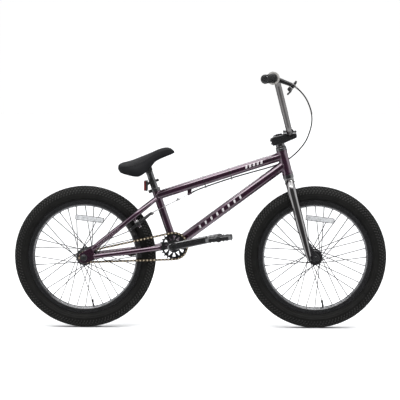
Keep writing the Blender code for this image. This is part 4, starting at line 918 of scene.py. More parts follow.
# ---------------------------------------------------------------- frame
@dataclass
class FrameSet:
    """The painted tubes with their welds, marks, clamps and bearings."""

    head_radius: float = 0.0185
    head_base: float = 0.317
    top_radius: float = 0.0159
    down_radius: float = 0.01745
    seat_radius: float = 0.0143
    shell_radius: float = 0.0228
    shell_half: float = 0.034
    stay_radius: float = 0.0095
    top_join: Flat = (0.1925, 0.389)
    down_join: float = 0.357
    seat_top: float = 0.219
    dropout_thickness: float = 0.006
    dropout_inner: float = 0.055
    cable_stop: Vector = Vector((-0.038, 0, 0.491))
    cable_way: Vector = Vector((0.887, 0, 0.463)).normalized()
    boss_along: float = 0.231
    boss_side: float = 0.044
    stay_front: float = -0.005
    marks_from: float = 0.114
    marks_pitch: float = 0.026
    marks: int = 8
    top_marks: int = 5
    top_marks_back: float = 0.143
    top_marks_pitch: float = 0.0145
    ticks: int = 15
    tick_from: float = 0.014
    tick_pitch: float = 0.0072

    def build(self) -> None:
        """Make every painted piece, then what is clamped or pressed into it."""
        self.build_main_tubes()
        self.build_stays()
        self.build_marks()
        self.build_seat_clamp()
        self.build_bearings()
        self.build_rear_axle()

    def build_main_tubes(self) -> None:
        """The front triangle and the shell, welded where they meet."""
        low = on_steerer(self.head_base)
        head = Shape().turn(low, STEER_UP, [
            (0, 0.016), (0, 0.0188), (0.0006, 0.0197), (0.0075, 0.0197),
            (0.0095, self.head_radius), (0.082, self.head_radius), (0.084, 0.0197),
            (0.0909, 0.0197), (0.0915, 0.0188), (0.0915, 0.016)], 64, closed=True)
        head.piece("frame_head_tube", "frame", [FRAME_PAINT], ["head_tube"])

        rear, front = on_seat_tube(self.top_join[0]), on_steerer(self.top_join[1])
        way = (front - rear).normalized()
        top = Shape().rod(rear + way * 0.004, front - way * 0.004, self.top_radius, 64)
        middle = (rear + front) / 2
        top.weld(middle, way, self.top_radius, low, STEER_UP, self.head_radius)
        top.weld(middle, -way, self.top_radius, BOTTOM_BRACKET, SEAT_UP, self.seat_radius)
        top.plate([(-0.046, 0.488), (-0.032, 0.495), (-0.03, 0.5095), (-0.046, 0.5045)],
                  0.003, axes_matrix(X, Z, Vector()))
        half = self.cable_way * 0.008
        top.tube(self.cable_stop - half, self.cable_stop + half, 0.004, 0.0016, 24)
        top.piece("frame_top_tube", "frame", [FRAME_PAINT], ["top_tube"])

        joint = on_steerer(self.down_join)
        way = (joint - BOTTOM_BRACKET).normalized()
        down = Shape().rod(BOTTOM_BRACKET + way * 0.004, joint - way * 0.004, self.down_radius, 64)
        middle = (BOTTOM_BRACKET + joint) / 2
        down.weld(middle, way, self.down_radius, low, STEER_UP, self.head_radius)
        down.weld(middle, -way, self.down_radius, BOTTOM_BRACKET, Y, self.shell_radius)
        down.piece("frame_down_tube", "frame", [FRAME_PAINT], ["down_tube"])

        seat = Shape().tube(BOTTOM_BRACKET + SEAT_UP * 0.004, on_seat_tube(self.seat_top),
                            self.seat_radius, 0.013, 64)
        seat.weld(on_seat_tube(0.12), -SEAT_UP, self.seat_radius, BOTTOM_BRACKET, Y,
                  self.shell_radius)
        seat.piece("frame_seat_tube", "frame", [FRAME_PAINT], ["seat_tube"])

        half = Y * self.shell_half
        shell = Shape().turn(BOTTOM_BRACKET - half, Y, [
            (0, 0.0205), (0, 0.0222), (0.0006, 0.0228), (0.0674, 0.0228), (0.068, 0.0222),
            (0.068, 0.0205)], 64, closed=True)
        shell.piece("frame_shell", "frame", [FRAME_PAINT], ["bottom_bracket_shell"])

    def dropout(self, side: int) -> tuple[Outline, Matrix]:
        """The outline of a rear dropout and its place."""
        outer, slot = 0.02, 0.0073
        mouth = math.degrees(math.asin(slot / outer))
        outline = [*arc((0, 0), outer, 125, 180 - mouth, 6),
                   *arc((0, 0), slot, 90, -90, 16),
                   *arc((0, 0), outer, 180 + mouth, 265, 8),
                   (0.01, -0.019), (0.04, -0.0055), (0.04, 0.015), (0.036, 0.016),
                   (0.0354, 0.0229), (0.0242, 0.0371)]
        middle = side * (self.dropout_inner + self.dropout_thickness / 2)
        return outline, axes_matrix(X, Z, REAR_AXLE + Y * middle)

    def build_stays(self) -> None:
        """Both chain stays with their dropouts, and both seat stays with their brake bosses."""
        plan = [(-0.386, 0.0585), (-0.378, 0.058), (-0.3, 0.054), (-0.215, 0.0475),
                (-0.175, 0.038), (-0.148, 0.0283), (-0.11, 0.0255)]
        fall = 0.1284
        upright = [(0.0424, 0.058), (0.052, 0.0578), (0.12, 0.052), (0.2, 0.045),
                   (0.255, 0.0445), (0.3, 0.03), (0.336, 0.01)]
        for name, side in SIDES.items():
            corners = [Vector((x, side * y, BOTTOM_BRACKET.z + (x - BOTTOM_BRACKET.x) * fall))
                       for x, y in plan]
            path = smooth_route(corners, 0.006)
            radii = [min(self.stay_radius, 0.0072 + 0.0024 * number / 3)
                     for number in range(len(path))]
            outline, place = self.dropout(side)
            stay = Shape().sweep(path, radii, 32).plate(outline, self.dropout_thickness, place,
                                                        0.0009)
            way = (path[-1] - path[-8]).normalized()
            stay.weld(path[-8], way, self.stay_radius, BOTTOM_BRACKET, Y, self.shell_radius, 0.0018)
            self.add_root_weld(stay, path)
            stay.piece(f"frame_chainstay_{name}", "frame", [FRAME_PAINT], [f"chainstay_{name}"])

            path = smooth_route([by_stay(along, self.stay_front, side * y)
                                 for along, y in upright], 0.006)
            last = len(path) - 1
            radii = [min(0.0072 + 0.0024 * number / 3, self.stay_radius
                         - 0.001 * max(0.0, number / last - 0.8) / 0.2)
                     for number in range(len(path))]
            stay = Shape().sweep(path, radii, 32)
            foot = by_stay(self.boss_along, 0.001, side * self.boss_side)
            stay.rod(foot, foot + STAY_FRONT * 0.037, 0.0055, 32)
            stay.turn(foot + STAY_FRONT * 0.0035, STAY_FRONT,
                      [(0, 0.0085), (0.0015, 0.0082), (0.003, 0.006)], 32)
            way = (path[-1] - path[-6]).normalized()
            stay.weld(path[-6], way, self.stay_radius - 0.001, BOTTOM_BRACKET, SEAT_UP,
                      self.seat_radius, 0.0018)
            self.add_root_weld(stay, path)
            stay.piece(f"frame_seatstay_{name}", "frame", [FRAME_PAINT], [f"seatstay_{name}"])

    def add_root_weld(self, stay: Shape, path: Ring) -> None:
        """A short collar of weld where a stay meets its dropout."""
        stay.turn(path[0], path[3] - path[0], [(0.0015, 0.0078), (0.0035, 0.0092),
                                               (0.006, 0.0096), (0.008, 0.0093)], 32)

    def add_patch(self, shape: Shape, start: Point, way: Vector, radius: float,
                  span: Flat, turn: Flat, shear: float,
                  sides: tuple[int, ...] = (RIGHT, LEFT)) -> None:
        """A thin painted patch on a tube.

        Args:
            shape: where it is added.
            start: the start of the tube's axis.
            way: the tube's direction.
            radius: the tube's radius.
            span: the patch's start and end along the tube.
            turn: its lowest and highest angle, measured up from straight out to the side.
            shear: how far its upper edge leans along the tube.
            sides: the sides of the tube that it is painted on.
        """
        way, lift, steps = way.normalized(), 0.00018, 8
        up = way.cross(Y)
        up = up if up.z > 0 else -up
        for side in sides:
            rows = []
            for share in (number / steps for number in range(steps + 1)):
                angle = math.radians(turn[0] + (turn[1] - turn[0]) * share)
                spoke = (Y * side * math.cos(angle) + up * math.sin(angle)) * (radius + lift)
                rows.append([start + way * (along + shear * (share - 0.5)) + spoke
                             for along in span])
            shape.loft(rows, capped=False, open_rings=True)

    def build_marks(self) -> None:
        """Plain white bars on the down tube and top tube, and ticks on the seat stays."""
        marks = Shape()
        way = on_steerer(self.down_join) - BOTTOM_BRACKET
        for number in range(self.marks):
            along = self.marks_from + number * self.marks_pitch
            self.add_patch(marks, BOTTOM_BRACKET, way, self.down_radius, (along, along + 0.0072),
                           (-19, 20), 0.003)
        rear = on_seat_tube(self.top_join[0])
        way = on_steerer(self.top_join[1]) - rear
        for number in range(self.top_marks):
            along = way.length - self.top_marks_back + number * self.top_marks_pitch
            self.add_patch(marks, rear, way, self.top_radius, (along, along + 0.0075),
                           (-14, 26), 0.004)
        for side in (RIGHT, LEFT):
            start = by_stay(0.052, self.stay_front, side * 0.0578)
            end = by_stay(0.2, self.stay_front, side * 0.045)
            for number in range(self.ticks):
                along = self.tick_from + number * self.tick_pitch
                self.add_patch(marks, start, end - start, self.stay_radius + 0.0003,
                               (along, along + 0.0011), (-10, 6), 0.001, (side,))
        marks.piece("frame_marks", "frame", [WHITE_INK])

    def build_seat_clamp(self) -> None:
        """The split ring at the top of the seat tube, and its cross bolt."""
        inner, outer, ear, half_ear, half_slit = 0.0146, 0.018, 0.0255, 0.0085, 0.0008
        outer_from = math.degrees(math.asin(half_ear / outer))
        inner_from = math.degrees(math.asin(half_slit / inner))
        outline = [(ear, half_ear), *arc((0, 0), outer, outer_from, 360 - outer_from, 48),
                   (ear, -half_ear), (ear, -half_slit),
                   *arc((0, 0), inner, 360 - inner_from, inner_from, 48), (ear, half_slit)]
        rearward = Y.cross(SEAT_UP)
        middle = on_seat_tube(0.2155)
        clamp = Shape().plate(outline, 0.0115, axes_matrix(-rearward, -Y, middle), 0.0012)
        bolt = middle - rearward * 0.0212
        clamp.bolt(bolt - Y * 0.0085, -Y, 0.0036, 0.0034, slot=1)
        clamp.hexagon(bolt + Y * 0.0085, Y, 0.0038, 0.003, slot=1)
        clamp.piece("frame_seat_clamp", "frame", [GLOSS_BLACK, BRIGHT_STEEL], ["seat_clamp"])

    def build_bearings(self) -> None:
        """Headset cups and the crank's bearings with their seals."""
        Shape().turn(on_steerer(0.3033), STEER_UP, [
            (0, 0.0146), (0.0134, 0.0146), (0.0134, 0.0192), (0.0112, 0.02), (0.0082, 0.02),
            (0.0078, 0.0196), (0.007, 0.0196), (0.0066, 0.02), (0.003, 0.02), (0, 0.019)],
            64, closed=True).piece("headset_lower", "frame", [GLOSS_BLACK], ["headset_cup_lower"])
        Shape().turn(on_steerer(0.4088), STEER_UP, [
            (0, 0.0146), (0.0092, 0.0146), (0.0092, 0.0186), (0.0072, 0.02), (0.005, 0.02),
            (0.0046, 0.0196), (0.004, 0.0196), (0.0036, 0.02), (0.0012, 0.02), (0, 0.0192)],
            64, closed=True).piece("headset_upper", "frame", [GLOSS_BLACK], ["headset_cup_upper"])
        for name, side in SIDES.items():
            bearing = Shape().turn(BOTTOM_BRACKET + Y * side * 0.022, Y * side, [
                (0, 0.0113), (0.012, 0.0113), (0.012, 0.0135), (0.0114, 0.0138),
                (0.0114, 0.0178), (0.012, 0.0181), (0.012, 0.0202), (0, 0.0202)], 64, closed=True)
            bearing.piece(f"crank_bearing_{name}", "frame", [BRIGHT_STEEL],
                          [f"bottom_bracket_bearing_{name}"])

    def build_rear_axle(self) -> None:
        """The rear axle with its cones, its nuts and their washers."""
        half = [(0.0547, 0.011), (0.0547, 0.007), (0.0764, 0.0069), (0.077, 0.0062), (0.0762, 0.0)]
        cones = [(-0.0506, 0.011), (-0.0506, 0.007), (0.0389, 0.007), (0.0389, 0.011)]
        axle = Shape().turn(REAR_AXLE, Y, flipped(half) + cones + half, 40)
        axle.piece("rear_axle_turned", "frame", [DARK_STEEL], ["rear_axle"])
        for name, side in SIDES.items():
            nut = axle_nut(REAR_AXLE, side, 0.0125, 0.0613, 0.0117, 0.0073)
            nut.piece(f"rear_nut_{name}", "frame", [DARK_STEEL], [f"rear_axle_nut_{name}"])


def axle_nut(centre: Point, side: int, across: float, start: float, length: float,
             bore: float) -> Shape:
    """A flanged axle nut with its outer corners rounded off."""
    out = Y * side
    shape = Shape().turn(centre + out * start, out, [
        (0, bore), (0, across * 0.98), (0.0016, across), (0.0024, across * 0.94), (0.0024, bore)],
        48, closed=True)
    return shape.turn(centre + out * (start + 0.0022), out, [
        (0, bore), (0, across * 0.93), (length - 0.004, across * 0.93),
        (length - 0.0024, across * 0.8), (length - 0.0024, bore)], 6, closed=True)


# ---------------------------------------------------------------- wheels
@dataclass
class Wheel:
    """One wheel: tyre with its tread, rim, laced spokes, hub, valve and reflector."""

    name: str
    axle: Point
    hub_profile: Outline
    flanges: tuple[Flat, Flat]
    body: str = ""
    half_width: float = 0.03
    belly_radius: float = 0.231
    crown_rise: float = 0.0265
    tread_pitches: int = 132
    rim_spoke_radius: float = 0.185
    spokes_a_side: int = 18
    hole_side: float = 0.0025
    spoke_radius: float = 0.0015
    crossing: float = math.radians(60)
    valve_angle: float = math.radians(-81)
    reflector_angle: float = math.radians(83)
    reflector_radius: float = 0.14

    def build(self) -> None:
        """Make the whole wheel."""
        self.body = f"{self.name}_wheel"
        self.build_tyre()
        self.build_rim()
        self.build_hub()
        for (name, side), flange in zip(SIDES.items(), self.flanges):
            self.build_spokes(name, side, *flange)
        self.build_valve()
        self.build_reflector()

    def wheel_rings(self, profile: Outline, count: int = 180) -> list[Ring]:
        """Rings round the axle, one for each (side, radius) point of a profile."""
        return [[turned_about(self.axle, radius, math.tau * number / count, side)
                 for number in range(count)] for side, radius in profile]

    def on_casing(self, lean: float, angle: float, lift: float) -> Point:
        """A point above the casing, from how far it leans off the crown and its angle."""
        side = math.sin(lean) * (self.half_width - 0.0006 + lift)
        radius = self.belly_radius + math.cos(lean) * (self.crown_rise + lift)
        return turned_about(self.axle, radius, angle, side)

    def build_tyre(self) -> None:
        """A ribbed casing with rows of slanted blocks over its crown and shoulders; the block tops are painted lighter
        as a highlight.
        """
        crown = [(math.sin(math.radians(lean)) * (self.half_width - 0.0006),
                  self.belly_radius + math.cos(math.radians(lean)) * self.crown_rise)
                 for lean in range(0, 91, 6)]
        wall = [(0.0293, 0.2285), (0.0299, 0.2275), (0.0299, 0.2262), (0.0288, 0.2252),
                (0.0276, 0.2212), (0.028, 0.2204), (0.0274, 0.219), (0.0262, 0.218),
                (0.0232, 0.2146), (0.0236, 0.2136), (0.0222, 0.2122), (0.017, 0.2096)]
        half = crown + wall
        inside = [(0.015, 0.208), (0.0215, 0.215), (0.0262, 0.23), (0.0215, 0.2455), (0.0, 0.253)]
        outside = flipped(half[1:]) + half
        lining = inside + flipped(inside[:-1])
        tyre = Shape().loft(self.wheel_rings(outside + lining), closed=True)
        step = math.tau / self.tread_pitches
        rows = (                      # lean from, lean to, start, length, slant, height
            (1.5, 10.0, 0.00, 0.62, 0.16, 0.0026),
            (12.5, 23.0, 0.46, 0.60, 0.18, 0.0027),
            (25.5, 37.0, 0.02, 0.58, 0.20, 0.0029),
            (39.5, 52.0, 0.50, 0.54, 0.22, 0.0030),
            (54.5, 68.0, 0.06, 0.50, 0.24, 0.0022),
            (71.0, 84.0, 0.52, 0.40, 0.20, 0.0010),
        )
        for pitch in range(self.tread_pitches):
            for side in (RIGHT, LEFT):
                for low, high, start, length, slant, height in rows:
                    begin = (pitch + start + (0.5 if side == LEFT else 0.0)) * step
                    self.add_block(tyre, side, (low, high), begin, length * step, slant * step,
                                   height)
        tyre.piece(f"{self.name}_tyre_treaded", self.body, [TYRE_RUBBER, TREAD_RUBBER],
                   [f"{self.name}_tyre"])

    def add_block(self, tyre: Shape, side: int, leans: Flat, begin: float,
                  length: float, slant: float, height: float) -> None:
        """One tread block.

        Args:
            tyre: where it is added.
            side: which side of the crown it is on.
            leans: its inner and outer lean off the crown, in degrees.
            begin: the angle where its inner edge starts.
            length: how long it is round the wheel, as an angle.
            slant: how far its outer edge is swept round, as an angle.
            height: how far it stands off the casing.
        """
        steps, rows = 3, []
        inset_lean, inset_turn = math.radians(0.9), 0.0006 / TYRE_RADIUS
        for number in range(steps + 1):
            share = number / steps
            lean = math.radians(leans[0] + (leans[1] - leans[0]) * share)
            tip = 1 if number == 0 else (-1 if number == steps else 0)
            first = begin + slant * share
            top_lean = lean + inset_lean * tip
            cap = min(height, self.top_limit(top_lean))
            rows.append([self.on_casing(lean * side, first, -0.0006),
                         self.on_casing(top_lean * side, first + inset_turn, cap),
                         self.on_casing(top_lean * side, first + length - inset_turn, cap),
                         self.on_casing(lean * side, first + length, -0.0006)])
        made = [[tyre.mesh.verts.new(point) for point in row] for row in rows]
        for here, there in zip(made, made[1:]):
            for number in range(3):
                face = tyre.mesh.faces.new((here[number], here[number + 1],
                                            there[number + 1], there[number]))
                # The block's top face takes the lighter tread colour, a painted highlight.
                face.material_index = int(number == 1)
        tyre.mesh.faces.new(made[0])
        tyre.mesh.faces.new(made[-1])

    def top_limit(self, lean: float) -> float:
        """How high a block may stand, so that it stays inside the tyre's own size."""
        upward = (TYRE_RADIUS - 0.0001 - self.belly_radius) / max(math.cos(lean), 0.1)
        return max(upward - self.crown_rise, 0.0002)

    def build_rim(self) -> None:
        """A box rim with a bright band along its inner edges, a painted highlight, and a ferrule for each spoke."""
        half = [(0.0155, 0.2088), (0.0163, 0.2092), (0.0176, 0.2092), (0.018, 0.2086),
                (0.018, 0.1962), (0.0177, 0.195), (0.0171, 0.1925), (0.016, 0.1908),
                (0.011, 0.1874), (0.0085, 0.1862), (0.005, 0.1857)]
        outside = half + flipped(half)
        well = [(-0.0155, 0.204), (0.0155, 0.204)]
        rim = Shape().loft(self.wheel_rings(outside + well), closed=True)
        for side in (RIGHT, LEFT):
            # Painted highlight: a bright band along each inner edge of the rim.
            edge = [(side * 0.0152, 0.1901), (side * 0.0158, 0.1897), (side * 0.0118, 0.1871),
                    (side * 0.011, 0.1874)]
            rim.loft(self.wheel_rings(edge), closed=True, slot=1)
            for number in range(self.spokes_a_side):
                foot = turned_about(self.axle, 0.1865, self.spoke_turn(number, side),
                                    side * self.hole_side)
                rim.turn(foot, self.axle - foot, [(0, 0.0036), (0.001, 0.0034), (0.0018, 0.0026)],
                         14, slot=1)
        rim.piece(f"{self.name}_rim_rolled", self.body, [GLOSS_BLACK, RIM_EDGE],
                  [f"{self.name}_rim"])

    def spoke_turn(self, number: int, side: int) -> float:
        """The angle of one of a side's spokes; the left side's sit between the right side's."""
        return math.radians(360 / self.spokes_a_side * (number + (0.5 if side == LEFT else 0)))

    def build_hub(self) -> None:
        """The turned hub shell."""
        hub = Shape().turn(self.axle, Y, self.hub_profile, 64, closed=True)
        hub.piece(f"{self.name}_hub_turned", self.body, [GLOSS_BLACK], [f"{self.name}_hub"])

    def build_spokes(self, name: str, side: int, flange_side: float, flange_radius: float) -> None:
        """One side's spokes, laced three cross, with bent heads and nipples.

        Args:
            name: the side's name.
            side: the side.
            flange_side: the flange's place along the axle.
            flange_radius: the flange's radius.
        """
        shape, hole_radius = Shape(), flange_radius - 0.0042
        for number in range(self.spokes_a_side):
            lead = 1 if number % 2 else -1
            turn = self.spoke_turn(number, side)
            rim_turn = turn + lead * self.crossing
            outer = lead * 0.0026
            head = turned_about(self.axle, hole_radius, turn, flange_side - outer * 1.1)
            elbow = turned_about(self.axle, hole_radius, turn, flange_side + outer)
            rim_end = turned_about(self.axle, self.rim_spoke_radius, rim_turn,
                                   side * self.hole_side)
            way = (rim_end - elbow).normalized()
            path = [head, head.lerp(elbow, 0.75), elbow + way * 0.0025, elbow + way * 0.006,
                    elbow.lerp(rim_end, 0.3), elbow.lerp(rim_end, 0.97)]
            shape.sweep(path, self.spoke_radius, 6)
            shape.turn(head, head - elbow, [(-0.0004, 0.0014), (0.0006, 0.002), (0.0014, 0.0017),
                                            (0.0018, 0.0006)], 12)
            shape.turn(rim_end - way * 0.0115, way, [(0, 0.0012), (0.0004, 0.0017),
                                                     (0.0115, 0.0018), (0.0125, 0.0014)], 8, slot=1)
        shape.piece(f"{self.name}_spokes_laced_{name}", self.body, [SPOKE_BLACK, DARK_STEEL],
                    [f"{self.name}_spokes_{name}"])

    def build_valve(self) -> None:
        """The valve stem with its lock ring and dust cap."""
        foot = turned_about(self.axle, 0.1875, self.valve_angle)
        inward = (self.axle - foot).normalized()
        valve = Shape().turn(foot, inward, [
            (0, 0.004), (0.003, 0.004), (0.005, 0.003), (0.016, 0.0028), (0.0165, 0.0038),
            (0.018, 0.0041), (0.025, 0.0041), (0.0268, 0.0034), (0.0272, 0.001)], 24)
        valve.piece(f"{self.name}_valve", self.body, [PAD_RUBBER])

    def build_reflector(self) -> None:
        """A clear reflector clipped between the spokes, with a rimmed lens and rounded ends."""
        half_long, half_high, steps = 0.0525, 0.0098, 24
        out = turned_about(Vector(), 1.0, self.reflector_angle)
        along = out.cross(Y)

        def placed(radius: float, share: float, side: float) -> Point:
            """A point on the reflector, from its radius and its share of the length."""
            pinch = 1 - 0.16 * abs(share) ** 6
            height = (radius - self.reflector_radius) * pinch + self.reflector_radius
            return self.axle + out * height + along * (half_long * share) + Y * side

        shape = Shape()
        for grow, near, far, slot in ((0.0, -0.014, -0.0058, 0), (-0.0016, -0.0146, -0.0052, 1)):
            low = self.reflector_radius - half_high - grow
            high = self.reflector_radius + half_high + grow
            rings = []
            for number in range(steps + 1):
                share = (-1 + 2 * number / steps) * (1 + grow / half_long)
                rings.append([placed(radius, share, side) for radius, side in (
                    (low, near + 0.0008), (low + 0.001, near), (high - 0.001, near),
                    (high, near + 0.0008), (high, far - 0.0008), (high - 0.001, far),
                    (low + 0.001, far), (low, far - 0.0008))])
            shape.loft(rings, slot=slot)
        shape.piece(f"{self.name}_reflector", self.body, [BLACK_NYLON, CLEAR_LENS])


def front_wheel() -> Wheel:
    """The front wheel, with a slim hub."""
    half = [(0.033, 0.015), (0.033, 0.0262), (0.0336, 0.027), (0.0359, 0.027),
            (0.0365, 0.0262), (0.0365, 0.015), (0.038, 0.0138), (0.047, 0.013)]
    waist = [(0.0, 0.0146), (0.018, 0.0146), (0.026, 0.0152), (0.031, 0.016)]
    profile = flipped(waist[1:] + half) + waist + half + [(0.047, 0.0054), (-0.047, 0.0054)]
    return Wheel("front", FRONT_AXLE, profile, ((-0.03475, 0.027), (0.03475, 0.027)))


def rear_wheel() -> Wheel:
    """The rear wheel, with a wider shell and its drive flange close to the driver."""
    profile = [(-0.0325, 0.0074), (-0.0325, 0.024), (-0.0318, 0.0255), (-0.0305, 0.0262),
               (-0.0305, 0.0304), (-0.0299, 0.031), (-0.0276, 0.031), (-0.027, 0.0304),
               (-0.027, 0.02), (-0.024, 0.0188), (0.03, 0.0188), (0.033, 0.02),
               (0.033, 0.0304), (0.0336, 0.031), (0.0359, 0.031), (0.0365, 0.0304),
               (0.0365, 0.018), (0.0378, 0.0166), (0.0385, 0.016), (0.0385, 0.0074)]
    return Wheel("rear", REAR_AXLE, profile, ((-0.02875, 0.031), (0.03475, 0.031)))


# ---------------------------------------------------------------- steering
@dataclass
class Fork:
    """The fork, the front axle and what sits on the steerer under the stem."""

    half_span: float = 0.0505
    crown: float = 0.286
    bend: float = 0.032
    thick: float = 0.0159
    thin: float = 0.0095
    taper_from: float = 0.12
    dropout_inner: float = 0.05
    dropout_thickness: float = 0.006

    def build(self) -> None:
        """Make the fork, its axle and its headset cover."""
        self.build_legs()
        self.build_axle()
        Shape().turn(on_steerer(0.4184), STEER_UP, [
            (0, 0.0146), (0, 0.019), (0.0008, 0.0198), (0.0022, 0.0196), (0.0045, 0.017),
            (0.006, 0.0167), (0.0062, 0.0162), (0.0068, 0.0162), (0.007, 0.0167),
            (0.0136, 0.0165), (0.014, 0.016), (0.014, 0.0146)], 64, closed=True).piece(
                "headset_top", "steering", [GLOSS_BLACK], ["headset_cover"])

    def build_legs(self) -> None:
        """Two taper legs bent over into one crown, with welded dropouts and steerer."""
        foot, side = -0.004, self.half_span
        corners = [on_steerer(foot, 0, -side), on_steerer(self.taper_from, 0, -side),
                   on_steerer(self.crown, 0, -side), on_steerer(self.crown, 0, side),
                   on_steerer(self.taper_from, 0, side), on_steerer(foot, 0, side)]
        bent = filleted(corners[1:5], self.bend, 14)
        low = [corners[0].lerp(corners[1], share / 8) for share in range(8)]
        high = [corners[4].lerp(corners[5], share / 8) for share in range(1, 9)]
        spread = self.thick - self.thin
        growth = [self.thin + spread * share / 8 for share in range(8)]
        growth[0], growth[1] = self.thin * 0.72, self.thin + spread * 0.1
        radii = growth + [self.thick] * len(bent) + growth[::-1]
        fork = Shape().sweep(low + bent + high, radii, 40, hint=STEER_FORWARD)
        top = [(0, 0.0172), (0.0125, 0.0172), (0.014, 0.018), (0.0168, 0.018), (0.0169, 0.0143),
               (0.1684, 0.0143), (0.169, 0.0137)]
        fork.turn(on_steerer(self.crown), STEER_UP, top, 56)
        fork.weld(on_steerer(0.31), -STEER_UP, 0.0172, on_steerer(self.crown), Y, self.thick,
                  0.0022)
        for side in (RIGHT, LEFT):
            outline, place = self.dropout(side)
            # The dropouts take the gloss black: partly their own black, partly painted shade for the shadow round the
            # axle.
            fork.plate(outline, self.dropout_thickness, place, 0.0009, slot=1)
        fork.piece("fork_tapered", "steering", [FORK_CHROME, GLOSS_BLACK], ["fork"])

    def dropout(self, side: int) -> tuple[Outline, Matrix]:
        """The outline of a front dropout and its place."""
        outer, slot, centre = 0.014, 0.0053, (FORK_OFFSET, 0)
        mouth = math.degrees(math.asin(slot / outer))
        outline = [(-0.003, 0.052), (-0.003, 0.002), *arc(centre, outer, 215, 270 - mouth, 6),
                   *arc(centre, slot, 180, 0, 16), *arc(centre, outer, 270 + mouth, 410, 16),
                   (0.014, 0.05), (0.008, 0.056)]
        middle = side * (self.dropout_inner + self.dropout_thickness / 2)
        return outline, axes_matrix(STEER_FORWARD, STEER_UP, on_steerer(0, 0, middle))

    def build_axle(self) -> None:
        """The front axle with its cones and nuts."""
        half = [(0.0474, 0.005), (0.0474, 0.009), (0.0497, 0.009), (0.0497, 0.005),
                (0.0694, 0.005), (0.07, 0.0044), (0.0692, 0.0)]
        axle = Shape().turn(FRONT_AXLE, Y, flipped(half) + half, 36)
        axle.piece("front_axle_turned", "steering", [DARK_STEEL], ["front_axle"])
        for name, side in SIDES.items():
            nut = axle_nut(FRONT_AXLE, side, 0.0095, 0.0563, 0.0097, 0.0053)
            nut.piece(f"front_nut_{name}", "steering", [DARK_STEEL], [f"front_axle_nut_{name}"])


@dataclass
class Stem:
    """The top loading stem, its cap and their bolts."""

    bar_radius: float = 0.0111
    width: float = 0.048
    edge: float = 0.0018

    def build(self) -> None:
        """Make the stem and its cap."""
        groove, centre = self.bar_radius + 0.0003, (BAR_CENTRE.x, BAR_CENTRE.z)
        low, high = centre[1] - 0.0015, centre[1] + 0.0008
        low_turn = math.degrees(math.asin(0.0015 / groove))
        high_turn = math.degrees(math.asin(0.0008 / groove))
        rear_foot, front_foot = on_steerer(0.4327, -0.0265), on_steerer(0.4327, 0.017)
        middle_plane = axes_matrix(X, Z, Vector())
        outline = [(rear_foot.x, rear_foot.z), (front_foot.x, front_foot.z), (0.3515, 0.6965),
                   (0.354, 0.702), (0.352, low),
                   *arc(centre, groove, -low_turn, -180 + low_turn, 32),
                   (0.3045, low), (0.299, 0.707), (0.2675, 0.6995), (0.2568, 0.693)]
        stem = Shape().plate(outline, self.width, middle_plane, self.edge)
        stem.turn(on_steerer(0.4325), STEER_UP, [(0, 0.0146), (0, 0.0168), (0.001, 0.017),
                                                 (0.0012, 0.0146)], 48, closed=True)
        stem.turn(on_steerer(0.446), STEER_UP, [(0, 0.0168), (0.02, 0.0168), (0.0226, 0.016),
                                                (0.0238, 0.013), (0.024, 0.0072),
                                                (0.0225, 0.006), (0.0225, 0.0)], 56)
        stem.bolt(on_steerer(0.468), STEER_UP, 0.0052, 0.003, slot=1)
        rear_top = Vector((outline[-1][0], 0, outline[-1][1]))
        back = (rear_top - rear_foot).normalized().cross(Y)
        back = back if back.x < 0 else -back
        for share in (0.3, 0.74):
            for side in (RIGHT, LEFT):
                spot = rear_foot.lerp(rear_top, share) + Y * side * 0.0135
                stem.bolt(spot + back * 0.0002, back, 0.004, 0.003, slot=1)
        stem.piece("stem_body", "steering", [GLOSS_BLACK, SATIN_BLACK], ["stem"])

        arch, shoulder = 0.0172, 0.7192
        arch_turn = math.degrees(math.asin((shoulder - centre[1]) / arch))
        outline = [(0.303, high), (0.303, shoulder),
                   *arc(centre, arch, 180 - arch_turn, arch_turn, 28),
                   (0.352, shoulder), (0.352, high),
                   *arc(centre, groove, high_turn, 180 - high_turn, 32)]
        cap = Shape().plate(outline, self.width, middle_plane, self.edge)
        for x in (0.3068, 0.3482):
            for side in (RIGHT, LEFT):
                cap.bolt(Vector((x, side * 0.015, shoulder - 0.0002)), Z, 0.0042, 0.0036, slot=1)
        cap.piece("stem_top", "steering", [GLOSS_BLACK, SATIN_BLACK], ["stem_cap"])


